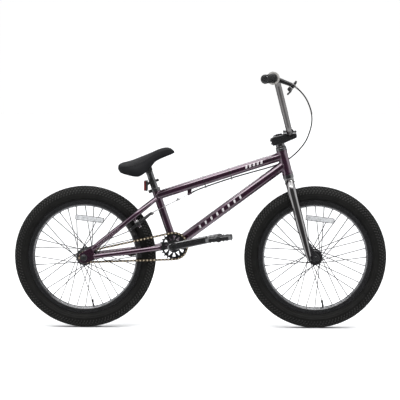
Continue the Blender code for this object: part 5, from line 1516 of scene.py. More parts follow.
@dataclass
class Handlebar:
    """The high rise handlebar and the grips at its ends."""

    radius: float = 0.0111
    crossbar_radius: float = 0.0095
    rise: float = 0.2066
    base_half: float = 0.06
    top_half: float = 0.15
    half_width: float = 0.35
    upsweep: float = 0.0052
    backsweep: float = 0.039
    bend: float = 0.05
    crossbar_height: float = 0.149
    grip_radius: float = 0.0155
    grip_start: float = 0.205
    grip_length: float = 0.1495

    def on_grip(self, side: int, out: float) -> Point:
        """A point on the axis of a handlebar end, at a distance out from the middle plane."""
        share = (out - self.top_half) / (self.half_width - self.top_half)
        return on_bar(side * out, self.rise + self.upsweep * share, -self.backsweep * share)

    def build(self) -> None:
        """Bend the bar, weld in its crossbar and push on the grips."""
        half = [on_bar(self.base_half, 0), on_bar(self.top_half, self.rise),
                self.on_grip(LEFT, self.half_width)]
        other = [Vector((point.x, -point.y, point.z)) for point in half]
        path = filleted(other[::-1] + half, self.bend, 14)
        bar = Shape().sweep(path, self.radius, 40, hint=X)
        reach = self.base_half + (self.top_half - self.base_half) * self.crossbar_height / self.rise
        ends = [on_bar(side * reach, self.crossbar_height) for side in (RIGHT, LEFT)]
        bar.rod(ends[0], ends[1], self.crossbar_radius, 40)
        middle = (ends[0] + ends[1]) / 2
        for side, upright in ((RIGHT, other), (LEFT, half)):
            bar.weld(middle, Y * side, self.crossbar_radius, upright[0], upright[1] - upright[0],
                     self.radius, 0.0017)
        bar.piece("handlebar_bent", "steering", [BAR_CHROME], ["handlebar"])
        for name, side in SIDES.items():
            self.build_grip(name, side)

    def build_grip(self, name: str, side: int) -> None:
        """A grip with a flange, a waist of fine ribs and a plug at its end."""
        start = self.on_grip(side, self.grip_start)
        out = self.on_grip(side, self.half_width) - start
        length, bore, flange = self.grip_length, self.radius + 0.0002, 0.0235
        profile = [(0.0042, bore), (0.0042, 0.017), (0.006, 0.0162), (0.009, self.grip_radius)]
        ribs, first, last = 26, 0.011, length - 0.008
        pitch, depth = (last - first) / ribs, 0.0013
        for number in range(ribs):
            along = first + pitch * number
            profile += [(along + pitch * 0.08, self.grip_radius),
                        (along + pitch * 0.5, self.grip_radius),
                        (along + pitch * 0.6, self.grip_radius - depth),
                        (along + pitch * 0.98, self.grip_radius - depth)]
        profile += [(length - 0.007, self.grip_radius + 0.0003), (length - 0.002, 0.0163),
                    (length - 0.0006, 0.0158), (length - 0.0002, 0.0128)]
        grip = Shape().turn(start, out, profile, 48)
        grip.turn(start, out, [(0, bore), (0, flange - 0.0012), (0.0005, flange - 0.0003),
                               (0.0012, flange), (0.0028, flange), (0.0035, flange - 0.0004),
                               (0.0046, 0.018), (0.0048, bore)], 64, closed=True, slot=2)
        grip.turn(start, out, [(length - 0.001, 0.0126), (length + 0.0008, 0.0126),
                               (length + 0.0014, 0.0118), (length + 0.0008, 0.007),
                               (length + 0.0006, 0.0)], 36, slot=1)
        grip.piece(f"grip_ribbed_{name}", "steering",
                   [GRIP_RUBBER, BLACK_NYLON, FLANGE_RUBBER], [f"grip_{name}"])


@dataclass
class LeverAndHousing:
    """The brake lever on its bracket, and the cable housing down to the frame."""

    bar: Handlebar
    pivot: Vector = Vector((0.33, -0.193, 0.88))
    axis: Vector = -Vector((0.62, 0, 0.787)).normalized()
    housing_radius: float = 0.0025
    route: tuple[tuple[float, float, float], ...] = (
        (0.35, -0.164, 0.879), (0.366, -0.156, 0.864), (0.383, -0.144, 0.842),
        (0.396, -0.128, 0.815), (0.404, -0.108, 0.788), (0.406, -0.086, 0.759),
        (0.401, -0.06, 0.727), (0.387, -0.029, 0.688), (0.369, -0.005, 0.661),
        (0.35, 0.012, 0.6395), (0.326, 0.023, 0.619), (0.301, 0.026, 0.605),
        (0.268, 0.023, 0.592), (0.23, 0.013, 0.581), (0.1835, 0.004, 0.5685),
        (0.1175, 0.0, 0.5495), (0.05, 0.0, 0.527), (0.005, 0.0, 0.511),
    )

    def build(self) -> None:
        """Make the bracket, the lever, the housing and its ties."""
        self.build_bracket()
        self.build_lever()
        self.build_housing()
        self.build_ties()

    def build_bracket(self) -> None:
        """The hinged clamp, the lever's knuckle and the housing's adjusting barrel."""
        clamp = self.bar.on_grip(RIGHT, 0.193)
        along = (self.bar.on_grip(RIGHT, 0.2) - self.bar.on_grip(RIGHT, 0.186)).normalized()
        inner, outer = self.bar.radius + 0.0002, 0.0155
        shape = Shape().tube(clamp - along * 0.007, clamp + along * 0.007, outer, inner, 48, 0.0012)
        knuckle = self.pivot - self.axis * 0.0105
        way = (knuckle - clamp).normalized()
        shape.sweep([clamp + way * 0.0125, clamp.lerp(knuckle, 0.65), knuckle],
                    [0.0074, 0.0064, 0.0058], 28, 1.2, Y)
        shape.rod(self.pivot - self.axis * 0.0006, self.pivot - self.axis * 0.0138, 0.0085, 36,
                  0.0012)
        shape.sweep([knuckle, self.pivot - self.axis * 0.02 + X * 0.002,
                     self.pivot - self.axis * 0.03], [0.0062, 0.005, 0.003], 24, hint=Y)
        end = Vector(self.route[0])
        direction = (Vector(self.route[1]) - end).normalized()
        shape.sweep([knuckle, end - direction * 0.012], [0.0052, 0.0046], 24, hint=Z)
        # The adjusting barrel is bright metal, lighter than the black bracket.
        barrel = end - direction * 0.0163
        profile = [(0, 0.0034), (0.0006, 0.0042), (0.005, 0.0042)]
        for number in range(6):
            start = 0.0056 + number * 0.0015
            profile += [(start, 0.0046), (start + 0.0008, 0.0046), (start + 0.001, 0.0042)]
        profile += [(0.0156, 0.004), (0.016, 0.003)]
        shape.turn(barrel, direction, profile, 28, slot=1)
        shape.bolt(clamp - BAR_FORWARD * 0.015 - BAR_UP * 0.006, BAR_UP, 0.003, 0.0125, slot=1)
        shape.bolt(self.pivot - self.axis * 0.0136, -self.axis, 0.0066, 0.0022, slot=1)
        shape.piece("lever_clamp", "steering", [SATIN_BLACK, BRIGHT_STEEL], ["brake_lever_bracket"])

    def build_lever(self) -> None:
        """The curved two-finger blade on its pivot pin."""
        root = self.pivot + self.axis * 0.0075
        offsets = ((0, 0, 0), (0.003, -0.022, -0.003), (0.001, -0.055, -0.008),
                   (-0.004, -0.085, -0.012), (-0.008, -0.108, -0.016))
        blade = smooth_route([root + Vector(offset) for offset in offsets], 0.004)
        last = len(blade) - 1
        radii = [0.006 - 0.001 * number / last + 0.0007 * (number / last) ** 6
                 for number in range(last + 1)]
        radii[-1], radii[-2] = radii[-2] * 0.45, radii[-2] * 0.9
        shape = Shape().sweep(blade, radii, 28, 0.62, self.axis)
        shape.rod(self.pivot + self.axis * 0.0002, self.pivot + self.axis * 0.0138, 0.008, 36,
                  0.0012)
        shape.bolt(self.pivot + self.axis * 0.0132, self.axis, 0.004, 0.0022, slot=1)
        shape.piece("lever_blade", "brake_lever", [SATIN_BLACK, DARK_STEEL], ["brake_lever"])

    def housing_path(self) -> Ring:
        """The housing's smooth centreline, from the lever to the frame's stop."""
        end = FrameSet.cable_stop + FrameSet.cable_way * 0.0083
        points = [Vector(point) for point in self.route]
        return smooth_route(points + [end + FrameSet.cable_way * 0.012, end], 0.004)

    def build_housing(self) -> None:
        """The sleeved housing with a ferrule at each end; it bends as the bar turns."""
        path = self.housing_path()
        shape = Shape().sweep(path, self.housing_radius - 0.0001, 16)
        for place, towards in ((path[0], path[2]), (path[-1], path[-3])):
            shape.turn(place, towards - place, [(0, 0.0018), (0.0003, 0.0029), (0.0085, 0.0029),
                                                (0.0095, 0.0025)], 24, slot=1)
        piece = shape.piece("housing_sleeved", "", [HOUSING, DARK_STEEL], ["brake_housing"])
        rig.blend(piece, "frame", "steering", end=(0.404, -0.108, 0.788), start=(0.23, 0.013, 0.581))

    def build_ties(self) -> None:
        """Nylon ties that hold the housing to the top tube."""
        path = self.housing_path()
        tube = FrameSet()
        rear, front = on_seat_tube(tube.top_join[0]), on_steerer(tube.top_join[1])
        way = (front - rear).normalized()
        shape = Shape()
        for wanted_x in (0.1175, 0.02):
            spot = min(path, key=lambda point: abs(point.x - wanted_x))
            foot = rear + way * (spot - rear).dot(way)
            out = (spot - foot).normalized()
            gap, side = (spot - foot).length, way.cross(out)
            radius, band = tube.top_radius + 0.0007, self.housing_radius + 0.0009
            lean = math.acos(min((radius - band) / gap, 1.0))
            loop = []
            for centre, size, low, high in ((foot, radius, lean, math.tau - lean),
                                            (spot, band, -lean, lean)):
                for number in range(33):
                    turn = low + (high - low) * number / 32
                    loop.append((centre, size, out * math.cos(turn) + side * math.sin(turn)))
            corners = ((-0.0013, -0.0004), (0.0013, -0.0004), (0.0013, 0.0005), (-0.0013, 0.0005))
            shape.loft([[centre + spoke * (size + lift) + way * along for along, lift in corners]
                        for centre, size, spoke in loop], closed=True)
            head = spot + out * (band + 0.0012)
            shape.plate([(-0.0021, -0.0024), (0.0021, -0.0024), (0.0021, 0.0024),
                         (-0.0021, 0.0024)], 0.003, axes_matrix(way, side, head), 0.0005)
            shape.plate([(-0.0011, 0.0), (0.0011, 0.0), (0.0011, 0.0062), (-0.0011, 0.0062)],
                        0.0009, axes_matrix(way, side, head + out * 0.0004), 0.0002)
        shape.piece("housing_ties", "frame", [BLACK_NYLON])


# ---------------------------------------------------------------- rear brake
@dataclass
class RearBrake:
    """The two arms on the seat stays, their pads, and the cable that pulls them."""

    arm_front: float = 0.026
    arm_radius: float = 0.006
    hanger: Vector = Vector((-0.082, 0, 0.468))
    pad_along: float = 0.196
    pad_inner: float = 0.0205
    pad_thickness: float = 0.007
    pad_length: float = 0.052
    pad_height: float = 0.01

    def build(self) -> None:
        """Make both arms with their pads, then the hanger and its wires."""
        for name, side in SIDES.items():
            self.build_arm(name, side)
            self.build_pad(name, side)
        self.build_yoke()

    def build_arm(self, name: str, side: int) -> None:
        """One forged arm with its pivot hub, return spring and pad bolt."""
        plan = [(0.0345, 0.188), (0.04, 0.205), (0.0435, 0.22), (0.044, 0.231),
                (0.0425, 0.254), (0.033, 0.275), (0.019, 0.29)]
        path = smooth_route([by_stay(along, self.arm_front, side * y) for y, along in plan], 0.004)
        last = len(path) - 1
        radii = [self.arm_radius * (1 - 0.22 * abs(2 * number / last - 0.7)) for number in
                 range(last + 1)]
        radii[0], radii[-1] = radii[0] * 0.7, radii[-1] * 0.7
        arm = Shape().sweep(path, radii, 24, 0.8, STAY_FRONT)
        hinge = by_stay(FrameSet.boss_along, self.arm_front, side * FrameSet.boss_side)
        arm.tube(hinge - STAY_FRONT * 0.0075, hinge + STAY_FRONT * 0.0075, 0.01, 0.006, 40, 0.0008)
        coil = [hinge - STAY_FRONT * (0.0145 - 0.0065 * number / 72)
                + (STAY_UP * math.cos(math.tau * number / 18)
                   + Y * math.sin(math.tau * number / 18)) * 0.0078 for number in range(73)]
        arm.sweep(coil + [coil[-1] + STAY_UP * 0.014 - Y * side * 0.003], 0.0008, 8, slot=1)
        arm.bolt(hinge + STAY_FRONT * 0.0122, STAY_FRONT, 0.0052, 0.0032, slot=1)
        pad = by_stay(self.pad_along, self.arm_front, side * (self.pad_inner + self.pad_thickness))
        arm.rod(pad, pad + Y * side * 0.0125, 0.0032, 20, slot=1)
        arm.hexagon(pad + Y * side * 0.0118, Y * side, 0.005, 0.0042, slot=1)
        tip = by_stay(0.2915, self.arm_front, side * 0.0185)
        arm.bolt(tip, STAY_FRONT, 0.0042, 0.0078, slot=1)
        arm.piece(f"brake_arm_forged_{name}", f"brake_arm_{name}", [SATIN_BLACK, BRIGHT_STEEL],
                  [f"brake_arm_{name}"])

    def build_pad(self, name: str, side: int) -> None:
        """One brake pad, grooved round its sides, with two rows of bosses on its face."""
        radial = (by_stay(self.pad_along, self.arm_front, 0) - REAR_AXLE).normalized()
        tangent = Y.cross(radial)
        half_long, half_high, nose = self.pad_length / 2, self.pad_height / 2, 0.004

        def outline(shrink: float) -> Outline:
            """The pad's outline, made smaller all round."""
            long, high = half_long - shrink, half_high - shrink
            return [*arc((long - nose, high - nose), nose, 90, 0, 6),
                    *arc((long - nose, -high + nose), nose, 0, -90, 6),
                    *arc((-long + nose, -high + nose), nose, 270, 180, 6),
                    *arc((-long + nose, high - nose), nose, 180, 90, 6)]

        face = by_stay(self.pad_along, self.arm_front, side * self.pad_inner)
        pad = Shape()
        depths = ((0.0, 0.001), (0.0004, 0.0003), (0.0044, 0.0), (0.0046, 0.0006),
                  (0.0048, 0.0006), (0.005, 0.0), (self.pad_thickness - 0.0006, 0.0002),
                  (self.pad_thickness, 0.001))
        pad.loft([[face + Y * side * depth + tangent * u + radial * v for u, v in outline(shrink)]
                  for depth, shrink in depths])
        for number in range(5):
            centre = face + Y * side * 0.0024 + tangent * (number - 2) * 0.009
            for edge in (-1, 1):
                pad.rod(centre + radial * edge * (half_high - 0.0016) - Y * 0.0016,
                        centre + radial * edge * (half_high - 0.0016) + Y * 0.0016, 0.0019, 12)
        pad.piece(f"brake_pad_moulded_{name}", f"brake_arm_{name}", [PAD_RUBBER],
                  [f"brake_pad_{name}"])

    def build_yoke(self) -> None:
        """The straddle hanger with its pinch bolt, the pull wire and the straddle wire."""
        way, stop = FrameSet.cable_way, FrameSet.cable_stop
        outline = [(-0.006, -0.0135), (-0.001, -0.0135), (0.009, -0.004), (0.009, 0.004),
                   (-0.001, 0.0135), (-0.006, 0.0135)]
        yoke = Shape().plate(outline, 0.005, axes_matrix(way, Y, self.hanger), 0.0012)
        self.add_wire(yoke, self.hanger, stop - way * 0.002, 0.0008)
        for side in (RIGHT, LEFT):
            start = self.hanger + Y * side * 0.011 - way * 0.003
            self.add_wire(yoke, start, by_stay(0.2915, self.arm_front, side * 0.0185), 0.0009)
        yoke.bolt(self.hanger + way * 0.002 + way.cross(Y) * 0.0024, way.cross(Y), 0.0036, 0.0034,
                  slot=1)
        yoke.piece("cable_hanger", "cable_yoke", [BRIGHT_STEEL, DARK_STEEL], ["cable_yoke"])

    def add_wire(self, shape: Shape, start: Point, end: Point, radius: float) -> None:
        """A stranded wire: a core with strands laid round it."""
        first, second = frame_along(end - start)
        shape.rod(start, end, radius * 0.72, 8, 0.0001)
        spacing, lay, strands = 0.0008, 0.008, 5
        steps = max(24, int((end - start).length / spacing))
        for strand in range(strands):
            path = []
            for number in range(steps + 1):
                turn = math.tau * (strand / strands + number * spacing / lay)
                path.append(start.lerp(end, number / steps)
                            + (first * math.cos(turn) + second * math.sin(turn)) * radius * 0.62)
            shape.sweep(path, radius * 0.4, 5)


# ---------------------------------------------------------------- drivetrain
@dataclass
class Drivetrain:
    """The chain, the sprocket, the driver, the cranks and the pedals' axles."""

    links: int = 68
    plate_waist: float = 0.0031
    roller_radius: float = 0.0039
    tooth_thickness: float = 0.0028
    tip_radius: float = 0.052
    driver_tip_radius: float = 0.02125
    spindle_radius: float = 0.011
    slope: float = 0.0
    spread: float = 0.0
    straight: float = 0.0
    half_loop: float = 0.0

    def __post_init__(self) -> None:
        """Work out the chain's two straight runs and its length from the two chain wheels."""
        across = BOTTOM_BRACKET - REAR_AXLE
        big, small = SPROCKET_PITCH_RADIUS, DRIVER_PITCH_RADIUS
        self.slope = math.atan2(across.z, across.x)
        self.spread = math.acos((small - big) / across.length)
        self.straight = math.sqrt(across.length ** 2 - (big - small) ** 2)
        self.half_loop = big * self.spread + self.straight + small * (math.pi - self.spread)

    def build(self) -> None:
        """Make the whole drivetrain."""
        self.build_chain()
        self.build_sprocket()
        self.build_driver()
        self.build_spindle()
        for name, side in SIDES.items():
            self.build_crank(name, side)
            self.build_pedal_axle(name, side)

    def on_chain(self, run: float) -> Point:
        """A point on the chain's pitch line, at a distance from the sprocket's foremost point."""
        big, small = SPROCKET_PITCH_RADIUS, DRIVER_PITCH_RADIUS
        front = big * self.spread
        sign = 1 if run > self.half_loop else -1
        run = 2 * self.half_loop - run if sign == 1 else run
        if run < front:
            spot = turned_about(BOTTOM_BRACKET, big, self.slope + sign * run / big)
        elif run < front + self.straight:
            heading = self.slope + sign * self.spread
            spot = turned_about(BOTTOM_BRACKET, big, heading).lerp(
                turned_about(REAR_AXLE, small, heading), (run - front) / self.straight)
        else:
            turn = self.spread + (run - front - self.straight) / small
            spot = turned_about(REAR_AXLE, small, self.slope + sign * turn)
        return spot + Y * CHAIN_LINE

    def build_chain(self) -> None:
        """Every link of the chain: plates, rollers and riveted pins."""
        step = 2 * self.half_loop / self.links
        pins = [self.on_chain(step * number) for number in range(self.links)]
        chain = Shape()
        for number, (here, there) in enumerate(zip(pins, pins[1:] + pins[:1])):
            outer = number % 2 == 0
            offset, high = (0.00335, 0.0041) if outer else (0.0022, 0.0043)
            along = (there - here).normalized()
            upward = Y.cross(along)
            outline = []
            for centre, low, bulge in ((here, 50, -self.plate_waist),
                                       (there, 230, self.plate_waist)):
                outline += [centre + along * x + upward * z
                            for x, z in arc((0, 0), high, low, low + 260, 8)]
                outline.append(here.lerp(there, 0.5) + upward * bulge)
            for side in (RIGHT, LEFT):
                chain.loft([[point + Y * (side * offset - 0.0005) for point in outline],
                            [point + Y * (side * offset + 0.0005) for point in outline]])
            chain.turn(here - Y * 0.0017, Y, [(0, self.roller_radius),
                                              (0.0034, self.roller_radius)], 14, slot=1)
            chain.turn(here - Y * 0.0043, Y, [(0, 0.0018), (0.0003, 0.0025), (0.0083, 0.0025),
                                              (0.0086, 0.0018)], 12, slot=1)
        chain.piece("chain_links", "frame", [CHAIN_STEEL, PIN_STEEL], ["chain"])

    def toothed(self, teeth: int, pitch_radius: float, tip_radius: float, gap: float) -> Outline:
        """A chain wheel's outline, with the middle of one gap between teeth at the given angle."""
        outline, step = [], math.tau / teeth
        for tooth in range(teeth):
            middle = gap + step * tooth
            cosine, sine = math.cos(middle), math.sin(middle)
            for x, y in arc((pitch_radius, 0), self.roller_radius + 0.0001, 248, 112, 6):
                outline.append((x * cosine - y * sine, x * sine + y * cosine))
            for share in (0.405, 0.455, 0.545, 0.595):
                tip = tip_radius if 0.42 < share < 0.58 else tip_radius - 0.0009
                angle = middle + step * share
                outline.append((tip * math.cos(angle), tip * math.sin(angle)))
        return outline

    def truss_windows(self, inner: float, outer: float, count: int = 12) -> list[Outline]:
        """Openings round a chain wheel that leave a truss between two rings."""
        step, windows = 360 / count, []
        for number in range(count):
            middle = number * step
            if number % 2:
                windows.append([*arc((0, 0), outer, middle - 9.5, middle + 9.5, 8),
                                *arc((0, 0), inner, middle + 2.5, middle - 2.5, 3)])
            else:
                windows.append([*arc((0, 0), inner, middle - 15, middle + 15, 8),
                                *arc((0, 0), outer, middle + 2.0, middle - 2.0, 3)])
        return windows

    def build_sprocket(self) -> None:
        """The chain wheel with its truss and collars."""
        outline = self.toothed(SPROCKET_TEETH, SPROCKET_PITCH_RADIUS, self.tip_radius, self.slope)
        bore = arc((0, 0), self.spindle_radius + 0.0003, 0, 354, 59)
        centre = BOTTOM_BRACKET + Y * CHAIN_LINE
        wheel = Shape().plate(outline, self.tooth_thickness, axes_matrix(X, Z, centre), 0.0004,
                              [bore, *self.truss_windows(0.0235, 0.0385)])
        for low, high in ((-0.0034, -0.0013), (0.0013, 0.0027)):
            wheel.turn(centre, Y, [(low, 0.0114), (low, 0.0186), (low + 0.0005, 0.0192),
                                   (high - 0.0005, 0.0192), (high, 0.0186), (high, 0.0114)], 56,
                       closed=True)
        wheel.piece("sprocket_truss", "crank", [SATIN_BLACK], ["sprocket"])

    def build_driver(self) -> None:
        """The small chain wheel on the rear hub."""
        outline = self.toothed(DRIVER_TEETH, DRIVER_PITCH_RADIUS, self.driver_tip_radius,
                               self.slope + math.pi)
        bore = arc((0, 0), 0.0076, 0, 352, 44)
        centre = REAR_AXLE + Y * CHAIN_LINE
        driver = Shape().plate(outline, self.tooth_thickness, axes_matrix(X, Z, centre), 0.0004,
                               [bore])
        driver.turn(REAR_AXLE, Y, [(-0.05, 0.0076), (-0.05, 0.0108), (-0.049, 0.0118),
                                   (-0.044, 0.0126), (-0.0424, 0.0131), (-0.0396, 0.0131),
                                   (-0.034, 0.0131), (-0.0332, 0.0124), (-0.0332, 0.0076)], 48,
                    closed=True)
        driver.piece("driver_cut", "driver", [DARK_STEEL], ["rear_driver"])

    def build_spindle(self) -> None:
        """The hollow spindle with its spacers and end bolts."""
        half = [(0.0344, 0.011), (0.0344, 0.0134), (0.035, 0.014), (0.0376, 0.014),
                (0.0381, 0.0134), (0.0381, 0.011), (0.0644, 0.011), (0.065, 0.0104)]
        bore = [(0.065, 0.006), (-0.065, 0.006)]
        spindle = Shape().turn(BOTTOM_BRACKET, Y, flipped(half) + half + bore, 48, closed=True)
        for side in (RIGHT, LEFT):
            start = BOTTOM_BRACKET + Y * side * 0.0636
            spindle.turn(start, Y * side, [(0, 0.0096), (0.002, 0.0104), (0.003, 0.0102),
                                           (0.0036, 0.009), (0.0037, 0.0052), (0.001, 0.0048),
                                           (0.001, 0.0)], 40, slot=1)
        spindle.piece("spindle_turned", "crank", [DARK_STEEL, GLOSS_BLACK], ["crank_spindle"])

    def build_crank(self, name: str, side: int) -> None:
        """One forged arm with soft corners, its pinch bolt and its round pedal eye."""
        stations = [(-0.0235, 0.006), (-0.0205, 0.0105), (-0.012, 0.014), (0.0, 0.0148),
                    (0.015, 0.0148), (0.158, 0.0132), (0.172, 0.013), (0.18, 0.0095),
                    (0.1838, 0.0045)]
        near, far, slant_from, slant_to = 0.0555, 0.078, 0.012, 0.158
        eye = pedal_eye(side)
        out = (eye - BOTTOM_BRACKET).normalized()
        square = Y.cross(out)
        alongs = [-0.0235, -0.0228, -0.0215, -0.019, -0.016, -0.012, -0.006, 0.0, 0.008, 0.015]
        alongs += [0.015 + 0.0143 * number for number in range(1, 11)]
        alongs += [0.163, 0.168, 0.172, 0.1755, 0.1785, 0.181, 0.1828, 0.1838]
        rings = []
        for along in alongs:
            before = max((row for row in stations if row[0] <= along), default=stations[0])
            after = min((row for row in stations if row[0] >= along), default=stations[-1])
            span = after[0] - before[0]
            part = (along - before[0]) / span if span else 0.0
            half_high = before[1] + (after[1] - before[1]) * part
            share = min(max((along - slant_from) / (slant_to - slant_from), 0), 1)
            share = share * share * (3 - 2 * share) * 0.4 + share * 0.6
            half_deep = 0.0105 - 0.0015 * share
            end_pinch = min(1.0, 0.55 + 60 * min(along + 0.0235, 0.1838 - along))
            centre = BOTTOM_BRACKET + out * along + Y * side * (near + (far - near) * share)
            rings.append(self.soft_ring(centre, square, half_high, half_deep * end_pinch))
        crank = Shape().loft(rings)
        outer_face, inner_face = 0.0664, 0.0446
        for start, depth in ((outer_face, 0.0012), (inner_face, -0.0012)):
            crank.turn(BOTTOM_BRACKET + Y * side * (start - depth), Y * side,
                       [(0, 0.0142), (depth * 0.8, 0.0138), (depth, 0.013), (depth, 0.0)], 48)
        crank.turn(eye + Y * side * 0.0682, Y * side, [
            (0, 0.0118), (0.001, 0.0122), (0.0186, 0.0122), (0.0191, 0.0116), (0.0191, 0.0)], 48)
        pinch = BOTTOM_BRACKET + out * 0.0195 + Y * side * near - square * 0.014
        crank.bolt(pinch, -square, 0.0042, 0.0022, slot=1)
        crank.piece(f"crank_forged_{name}", "crank", [GLOSS_BLACK, DARK_STEEL],
                    [f"crank_arm_{name}"])

    def soft_ring(self, centre: Point, square: Vector, half_high: float, half_deep: float) -> Ring:
        """Points round a soft cornered rectangle."""
        points, sides, power = [], 40, 3.6
        for number in range(sides):
            angle = math.tau * (number + 0.5) / sides
            cosine, sine = math.cos(angle), math.sin(angle)
            swell = (abs(cosine) ** power + abs(sine) ** power) ** (-1 / power)
            points.append(centre + square * half_high * cosine * swell
                          + Y * half_deep * sine * swell)
        return points

    def build_pedal_axle(self, name: str, side: int) -> None:
        """A pedal's axle with its flange against the crank."""
        axle = Shape().turn(pedal_eye(side), Y * side, [
            (0.0684, 0.0), (0.0688, 0.006), (0.07, 0.0065), (0.0874, 0.0065), (0.0874, 0.009),
            (0.0879, 0.0095), (0.091, 0.0095), (0.0915, 0.009), (0.0915, 0.0065),
            (0.1756, 0.0065), (0.176, 0.006), (0.176, 0.0)], 40)
        axle.piece(f"pedal_axle_turned_{name}", "crank", [DARK_STEEL], [f"pedal_axle_{name}"])


@dataclass
class Pedal:
    """A moulded platform pedal with studs on both faces."""

    name: str
    side: int
    length: float = 0.1
    width: float = 0.094
    inner: float = 0.092
    thick: float = 0.015

    def build(self) -> None:
        """Mould the platform round its axle barrel and set its studs."""
        eye, outward = pedal_eye(self.side), Y * self.side
        forward = Vector((math.cos(PEDAL_TILT), 0, math.sin(PEDAL_TILT)))
        up = Vector((-math.sin(PEDAL_TILT), 0, math.cos(PEDAL_TILT)))
        half_long, half_wide, corner = self.length / 2, self.width / 2, 0.014
        outline = [(half_long - corner, -half_wide), (half_long - 0.003, -half_wide + 0.011),
                   (half_long, 0), (half_long - 0.003, half_wide - 0.011),
                   (half_long - corner, half_wide)]
        outline += [(-x, y) for x, y in outline[::-1]]
        near_x, far_x, near_y, far_y = 0.0135, 0.0415, 0.0045, half_wide - 0.0085
        window = [(near_x, near_y), (far_x, near_y), (far_x, far_y - 0.008),
                  (far_x - 0.008, far_y), (near_x, far_y)]
        quarters = [(front, out) for front in (-1, 1) for out in (-1, 1)]
        windows = [[(front * x, out * y) for x, y in window] for front, out in quarters]
        centre = eye + outward * (self.inner + half_wide)
        pedal = Shape().plate(outline, self.thick, axes_matrix(forward, Y, centre), 0.0016, windows)
        start = eye + outward * self.inner
        pedal.tube(start, start + outward * self.width, 0.0108, 0.0068, 40)
        pedal.turn(start + outward * (self.width - 0.004), outward,
                   [(0, 0.0072), (0.003, 0.0072), (0.0036, 0.006), (0.0036, 0.0)], 6, slot=1)
        studs = ((0.0455, 0.012), (0.045, 0.03), (0.03, 0.0428), (0.017, 0.043))
        spots = [(front * x, out * y) for front, out in quarters for x, y in studs]
        spots += [(0.046, 0.0), (-0.046, 0.0)]
        for across, out in spots:
            base = centre + forward * across + Y * out
            for face in (-1, 1):
                pedal.turn(base + up * face * (self.thick / 2 - 0.0004), up * face,
                           [(0, 0.0022), (0.0012, 0.0021), (0.0014, 0.0014), (0.0034, 0.0013),
                            (0.0037, 0.0008)], 12, slot=1)
        for front, out in quarters:
            rib = centre + forward * front * 0.0275 + Y * out * 0.005
            pedal.rod(rib, rib + Y * out * (half_wide - 0.014), 0.0018, 12)
        pedal.piece(f"pedal_moulded_{self.name}", f"pedal_{self.name}", [BLACK_NYLON, DARK_STEEL],
                    [f"pedal_{self.name}"])


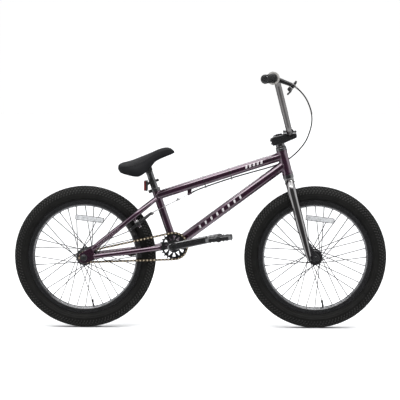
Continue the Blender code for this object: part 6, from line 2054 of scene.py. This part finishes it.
# ---------------------------------------------------------------- seat
@dataclass
class Saddle:
    """The padded cover, its shell and the pivot underneath."""

    forward: Vector = Vector((math.cos(SADDLE_TILT), 0, math.sin(SADDLE_TILT)))
    up: Vector = Vector((-math.sin(SADDLE_TILT), 0, math.cos(SADDLE_TILT)))
    origin: Vector = Vector((-0.196, 0, 0.601))
    stations: tuple[Section, ...] = (
        # along, top, lower edge, half width
        (-0.1030, 0.0170, 0.0060, 0.0300), (-0.0985, 0.0250, -0.0040, 0.0440),
        (-0.0860, 0.0292, -0.0130, 0.0580), (-0.0600, 0.0286, -0.0270, 0.0690),
        (-0.0340, 0.0294, -0.0360, 0.0660), (0.0000, 0.0332, -0.0250, 0.0500),
        (0.0300, 0.0365, -0.0040, 0.0340), (0.0600, 0.0392, 0.0040, 0.0260),
        (0.0850, 0.0385, 0.0070, 0.0220), (0.1000, 0.0310, 0.0085, 0.0165),
        (0.1100, 0.0180, 0.0105, 0.0080))
    arch_power: float = 2.5
    seam_turn: float = math.radians(34)
    across_steps: int = 48

    def point(self, along: float, up: float, side: float = 0.0) -> Point:
        """A point in the saddle's own frame."""
        return self.origin + self.forward * along + self.up * up + Y * side

    def sections(self, spacing: float = 0.0035) -> list[Section]:
        """The saddle's sections at even spacing, smoothed between the stations."""
        rows = [self.stations[0], *self.stations, self.stations[-1]]
        found = []
        for spot in smooth_route([Vector((row[0], row[1], 0.0)) for row in self.stations], spacing):
            for before, low, high, after in zip(rows, rows[1:], rows[2:], rows[3:]):
                if low[0] - 1e-6 <= spot.x <= high[0] + 1e-6:
                    share = (spot.x - low[0]) / (high[0] - low[0])
                    found.append((spot.x, spot.y, *(
                        spline(before[column], low[column], high[column], after[column], share)
                        for column in (2, 3))))
                    break
        return found

    def arch(self, section: Section, wide: float, low: float, high: float) -> Ring:
        """Points over one section from the left edge to the right one.

        Args:
            section: the section's place, top, lower edge and half width.
            wide: the share of its width.
            low: the share of its height where the arch starts.
            high: the share of its height that the arch reaches.

        Returns:
            The points.
        """
        along, top, foot, half = section
        rise, points = top - foot, []
        for number in range(self.across_steps + 1):
            angle = math.pi * number / self.across_steps
            cosine, sine = math.cos(angle), max(math.sin(angle), 0.0)
            side = half * wide * math.copysign(abs(cosine) ** (2 / self.arch_power), cosine)
            height = foot + rise * (low + (high - low) * sine ** (2 / self.arch_power))
            points.append(self.point(along, height, side))
        return points

    def build(self) -> None:
        """Stretch the cover over its foam, then make the shell and the pivot."""
        self.build_cover()
        self.build_seams()
        self.build_base()

    def build_cover(self) -> None:
        """The padded cover, rolled under the shell's edge all round, with its lower skirt painted darker as shade."""
        sections = self.sections()
        rows = []
        for section in sections:
            over = self.arch(section, 1.0, 0.0, 1.0)
            tuck = self.arch(section, 0.9, 0.05, 0.72)
            deep = self.arch(section, 0.82, 0.16, 0.62)
            rows.append(over + tuck[::-1][:6] + deep[::-1][6:-6] + tuck[::-1][-6:])
        cover = Shape().loft(rows)
        piece = cover.piece("saddle_padded", "", [SADDLE_VINYL, SKIRT_VINYL], ["saddle_cover"])
        # Faces below the side seam take the darker skirt colour, painted shade on the lower skirt.
        for polygon in piece.data.polygons:
            middle = sum((piece.data.vertices[number].co for number in polygon.vertices), Vector())
            polygon.material_index = int(self.below_seam(middle / len(polygon.vertices)))
        self.settle(piece)
        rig.ride(piece, "saddle")
        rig.padded(piece, fill=0.8)

    def below_seam(self, spot: Point) -> bool:
        """Whether a point on the cover is below its side seam."""
        along = (spot - self.origin).dot(self.forward)
        height = (spot - self.origin).dot(self.up)
        rows = sorted(self.stations, key=lambda row: abs(row[0] - along))[:2]
        (a, top_a, foot_a, _), (b, top_b, foot_b, _) = rows
        share = min(max((along - a) / (b - a), 0.0), 1.0)
        top, foot = top_a + (top_b - top_a) * share, foot_a + (foot_b - foot_a) * share
        return height < foot + (top - foot) * math.sin(self.seam_turn) ** (2 / self.arch_power)

    def settle(self, piece: bpy.types.Object) -> None:
        """Give the foam its soft dips: a shallow channel, and a slight unevenness all over."""
        for vertex in piece.data.vertices:
            local = vertex.co - self.origin
            along, height, side = local.dot(self.forward), local.dot(self.up), local.y
            if height < 0.004:
                continue
            channel = math.exp(-(side / 0.011) ** 2) * min(max((0.055 - along) / 0.05, 0), 1)
            vertex.co -= self.up * 0.0016 * channel
            wave = noise.noise(Vector((along, side, height)) * 38.0)
            vertex.co -= self.up * 0.0005 * (wave + 0.6)

    def build_seams(self) -> None:
        """The side seams: a thin welt and a row of stitches above it."""
        welt, sections = Shape(), self.sections(0.0012)
        for side in (RIGHT, LEFT):
            line, upper = [], []
            for along, top, foot, half in sections:
                for store, turn, lift in ((line, self.seam_turn, 0.0004),
                                          (upper, self.seam_turn + math.radians(5), -0.0002)):
                    cosine, sine = math.cos(turn), math.sin(turn)
                    across = (half + lift) * cosine ** (2 / self.arch_power)
                    height = foot + (top - foot) * sine ** (2 / self.arch_power)
                    store.append(self.point(along, height, side * across))
            welt.sweep(line[3:-3], 0.0009, 8)
            for number in range(4, len(upper) - 6, 3):
                a, b = upper[number], upper[number + 2]
                out = Y * side * 0.0004 + self.up * 0.0003
                welt.sweep([a.lerp(b, 0.1), a.lerp(b, 0.3) + out, a.lerp(b, 0.7) + out,
                            a.lerp(b, 0.9)], 0.00035, 6, slot=1)
        # The welt takes the skirt's darker painted-shade colour.
        welt.piece("saddle_seams", "saddle", [SKIRT_VINYL, GRIP_RUBBER])

    def build_base(self) -> None:
        """The moulded shell with ribs underneath, and the cheeks of its pivot."""
        sections = [row for row in self.sections() if -0.097 < row[0] < 0.098]
        rows = []
        for number, section in enumerate(sections):
            rib = 0.008 if number % 6 == 0 else 0.0
            outer = self.arch(section, 0.79, 0.0, 0.57)
            inner = self.arch(section, 0.7 - rib, 0.0, 0.48 - rib)
            rows.append(outer + inner[::-1])
        base = Shape().loft(rows)
        for side in (RIGHT, LEFT):
            outline = [*arc((0.0008, -0.0231), 0.012, 180, 360, 24), (0.018, 0.0115),
                       (-0.016, 0.0005)]
            place = axes_matrix(self.forward, self.up, self.origin + Y * side * 0.016)
            base.plate(outline, 0.004, place, 0.0008)
            pivot = on_seat_tube(0.293) + Y * side * 0.018
            base.turn(pivot, Y * side, [(0, 0.0085), (0.0012, 0.0085), (0.0016, 0.0078),
                                        (0.0016, 0.0)], 32, slot=1)
            base.bolt(pivot + Y * side * 0.0014, Y * side, 0.0052, 0.0036, slot=1)
        base.piece("saddle_shell", "saddle", [BLACK_NYLON, DARK_STEEL], ["saddle_base"])


@dataclass
class SeatPost:
    """The post with its pivot head, and the reflector clamped round it."""

    radius: float = 0.0127
    bottom: float = 0.11
    shoulder: float = 0.286
    band_height: float = 0.246
    pivot_height: float = 0.293
    plate_middle: Vector = Vector((-0.1945, 0, 0.5205))

    def build(self) -> None:
        """Make the post, the bracket and the reflector."""
        post = Shape().turn(BOTTOM_BRACKET, SEAT_UP, [
            (self.bottom + 0.01, 0.0), (self.bottom + 0.01, 0.01), (self.bottom, 0.0102),
            (self.bottom, self.radius - 0.0004), (self.bottom + 0.0006, self.radius),
            (self.shoulder, self.radius)], 56)
        head = on_seat_tube(self.pivot_height)
        post.rod(head - Y * 0.013, head + Y * 0.013, 0.014, 56, 0.001)
        post.piece("seat_post_turned", "seat_post", [GLOSS_BLACK], ["seat_post"])
        self.build_bracket()
        self.build_lens()

    def build_bracket(self) -> None:
        """The split band, its clamp screw, the arm and the plate behind the lens."""
        rearward = SEAT_UP.cross(Y)
        middle = on_seat_tube(self.band_height)
        inner, outer = self.radius + 0.0002, 0.0155
        shape = Shape().tube(middle - SEAT_UP * 0.005, middle + SEAT_UP * 0.005, outer, inner, 56,
                             0.0008)
        shape.rod(middle - rearward * 0.0145, middle - rearward * 0.024, 0.0048, 28, 0.001)
        shape.bolt(middle - rearward * 0.019 - Y * 0.0044, -Y, 0.003, 0.0026, slot=1)
        shape.hexagon(middle - rearward * 0.019 + Y * 0.0044, Y, 0.0034, 0.0022, slot=1)
        path = [middle + rearward * 0.0148, self.plate_middle + Vector((0.001, 0, 0.005))]
        shape.sweep(path, [0.0046, 0.0056], 28, hint=Y)
        outline = self.rounded(0.025, 0.019, 0.006)
        shape.plate(outline, 0.005, axes_matrix(Y, Z, self.plate_middle), 0.001)
        shape.piece("reflector_arm", "seat_post", [BLACK_NYLON, DARK_STEEL], ["reflector_bracket"])

    def rounded(self, half_wide: float, half_high: float, corner: float) -> Outline:
        """A rectangle's outline with round corners."""
        wide, high = half_wide - corner, half_high - corner
        return [*arc((wide, high), corner, 0, 90, 8), *arc((-wide, high), corner, 90, 180, 8),
                *arc((-wide, -high), corner, 180, 270, 8), *arc((wide, -high), corner, 270, 360, 8)]

    def build_lens(self) -> None:
        """The red lens with rows of prisms."""
        middle = self.plate_middle - X * (0.0025 + 0.0003 + 0.0035)
        lens = Shape().plate(self.rounded(0.0235, 0.0185, 0.006), 0.0066,
                             axes_matrix(Y, Z, middle), 0.0012)
        for row in range(-3, 4):
            for column in range(-4, 5):
                if abs(row) == 3 and abs(column) == 4:
                    continue
                spot = middle - X * 0.003 + Y * column * 0.0046 + Z * row * 0.0046
                lens.turn(spot, -X, [(0, 0.0024), (0.0005, 0.0018), (0.0006, 0.0)], 6)
        lens.piece("reflector_red", "seat_post", [RED_LENS], ["rear_reflector"])


# ---------------------------------------------------------------- assembly
def main() -> None:
    """Build the studio and the bicycle, and write how large it came out."""
    logging.basicConfig(level=logging.INFO, format="%(name)s: %(message)s")
    Studio().build()
    FrameSet().build()
    front_wheel().build()
    rear_wheel().build()
    Fork().build()
    Stem().build()
    handlebar = Handlebar()
    handlebar.build()
    LeverAndHousing(handlebar).build()
    RearBrake().build()
    Drivetrain().build()
    for name, side in SIDES.items():
        Pedal(name, side).build()
    SeatPost().build()
    Saddle().build()
    sizes = {"cad": [list(corner) for corner in CAD_BOX],
             "visual": [list(corner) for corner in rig.bounds()]}
    with open("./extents.json", "w", encoding="utf-8") as out:
        json.dump(sizes, out)


if __name__ == "__main__":
    main()
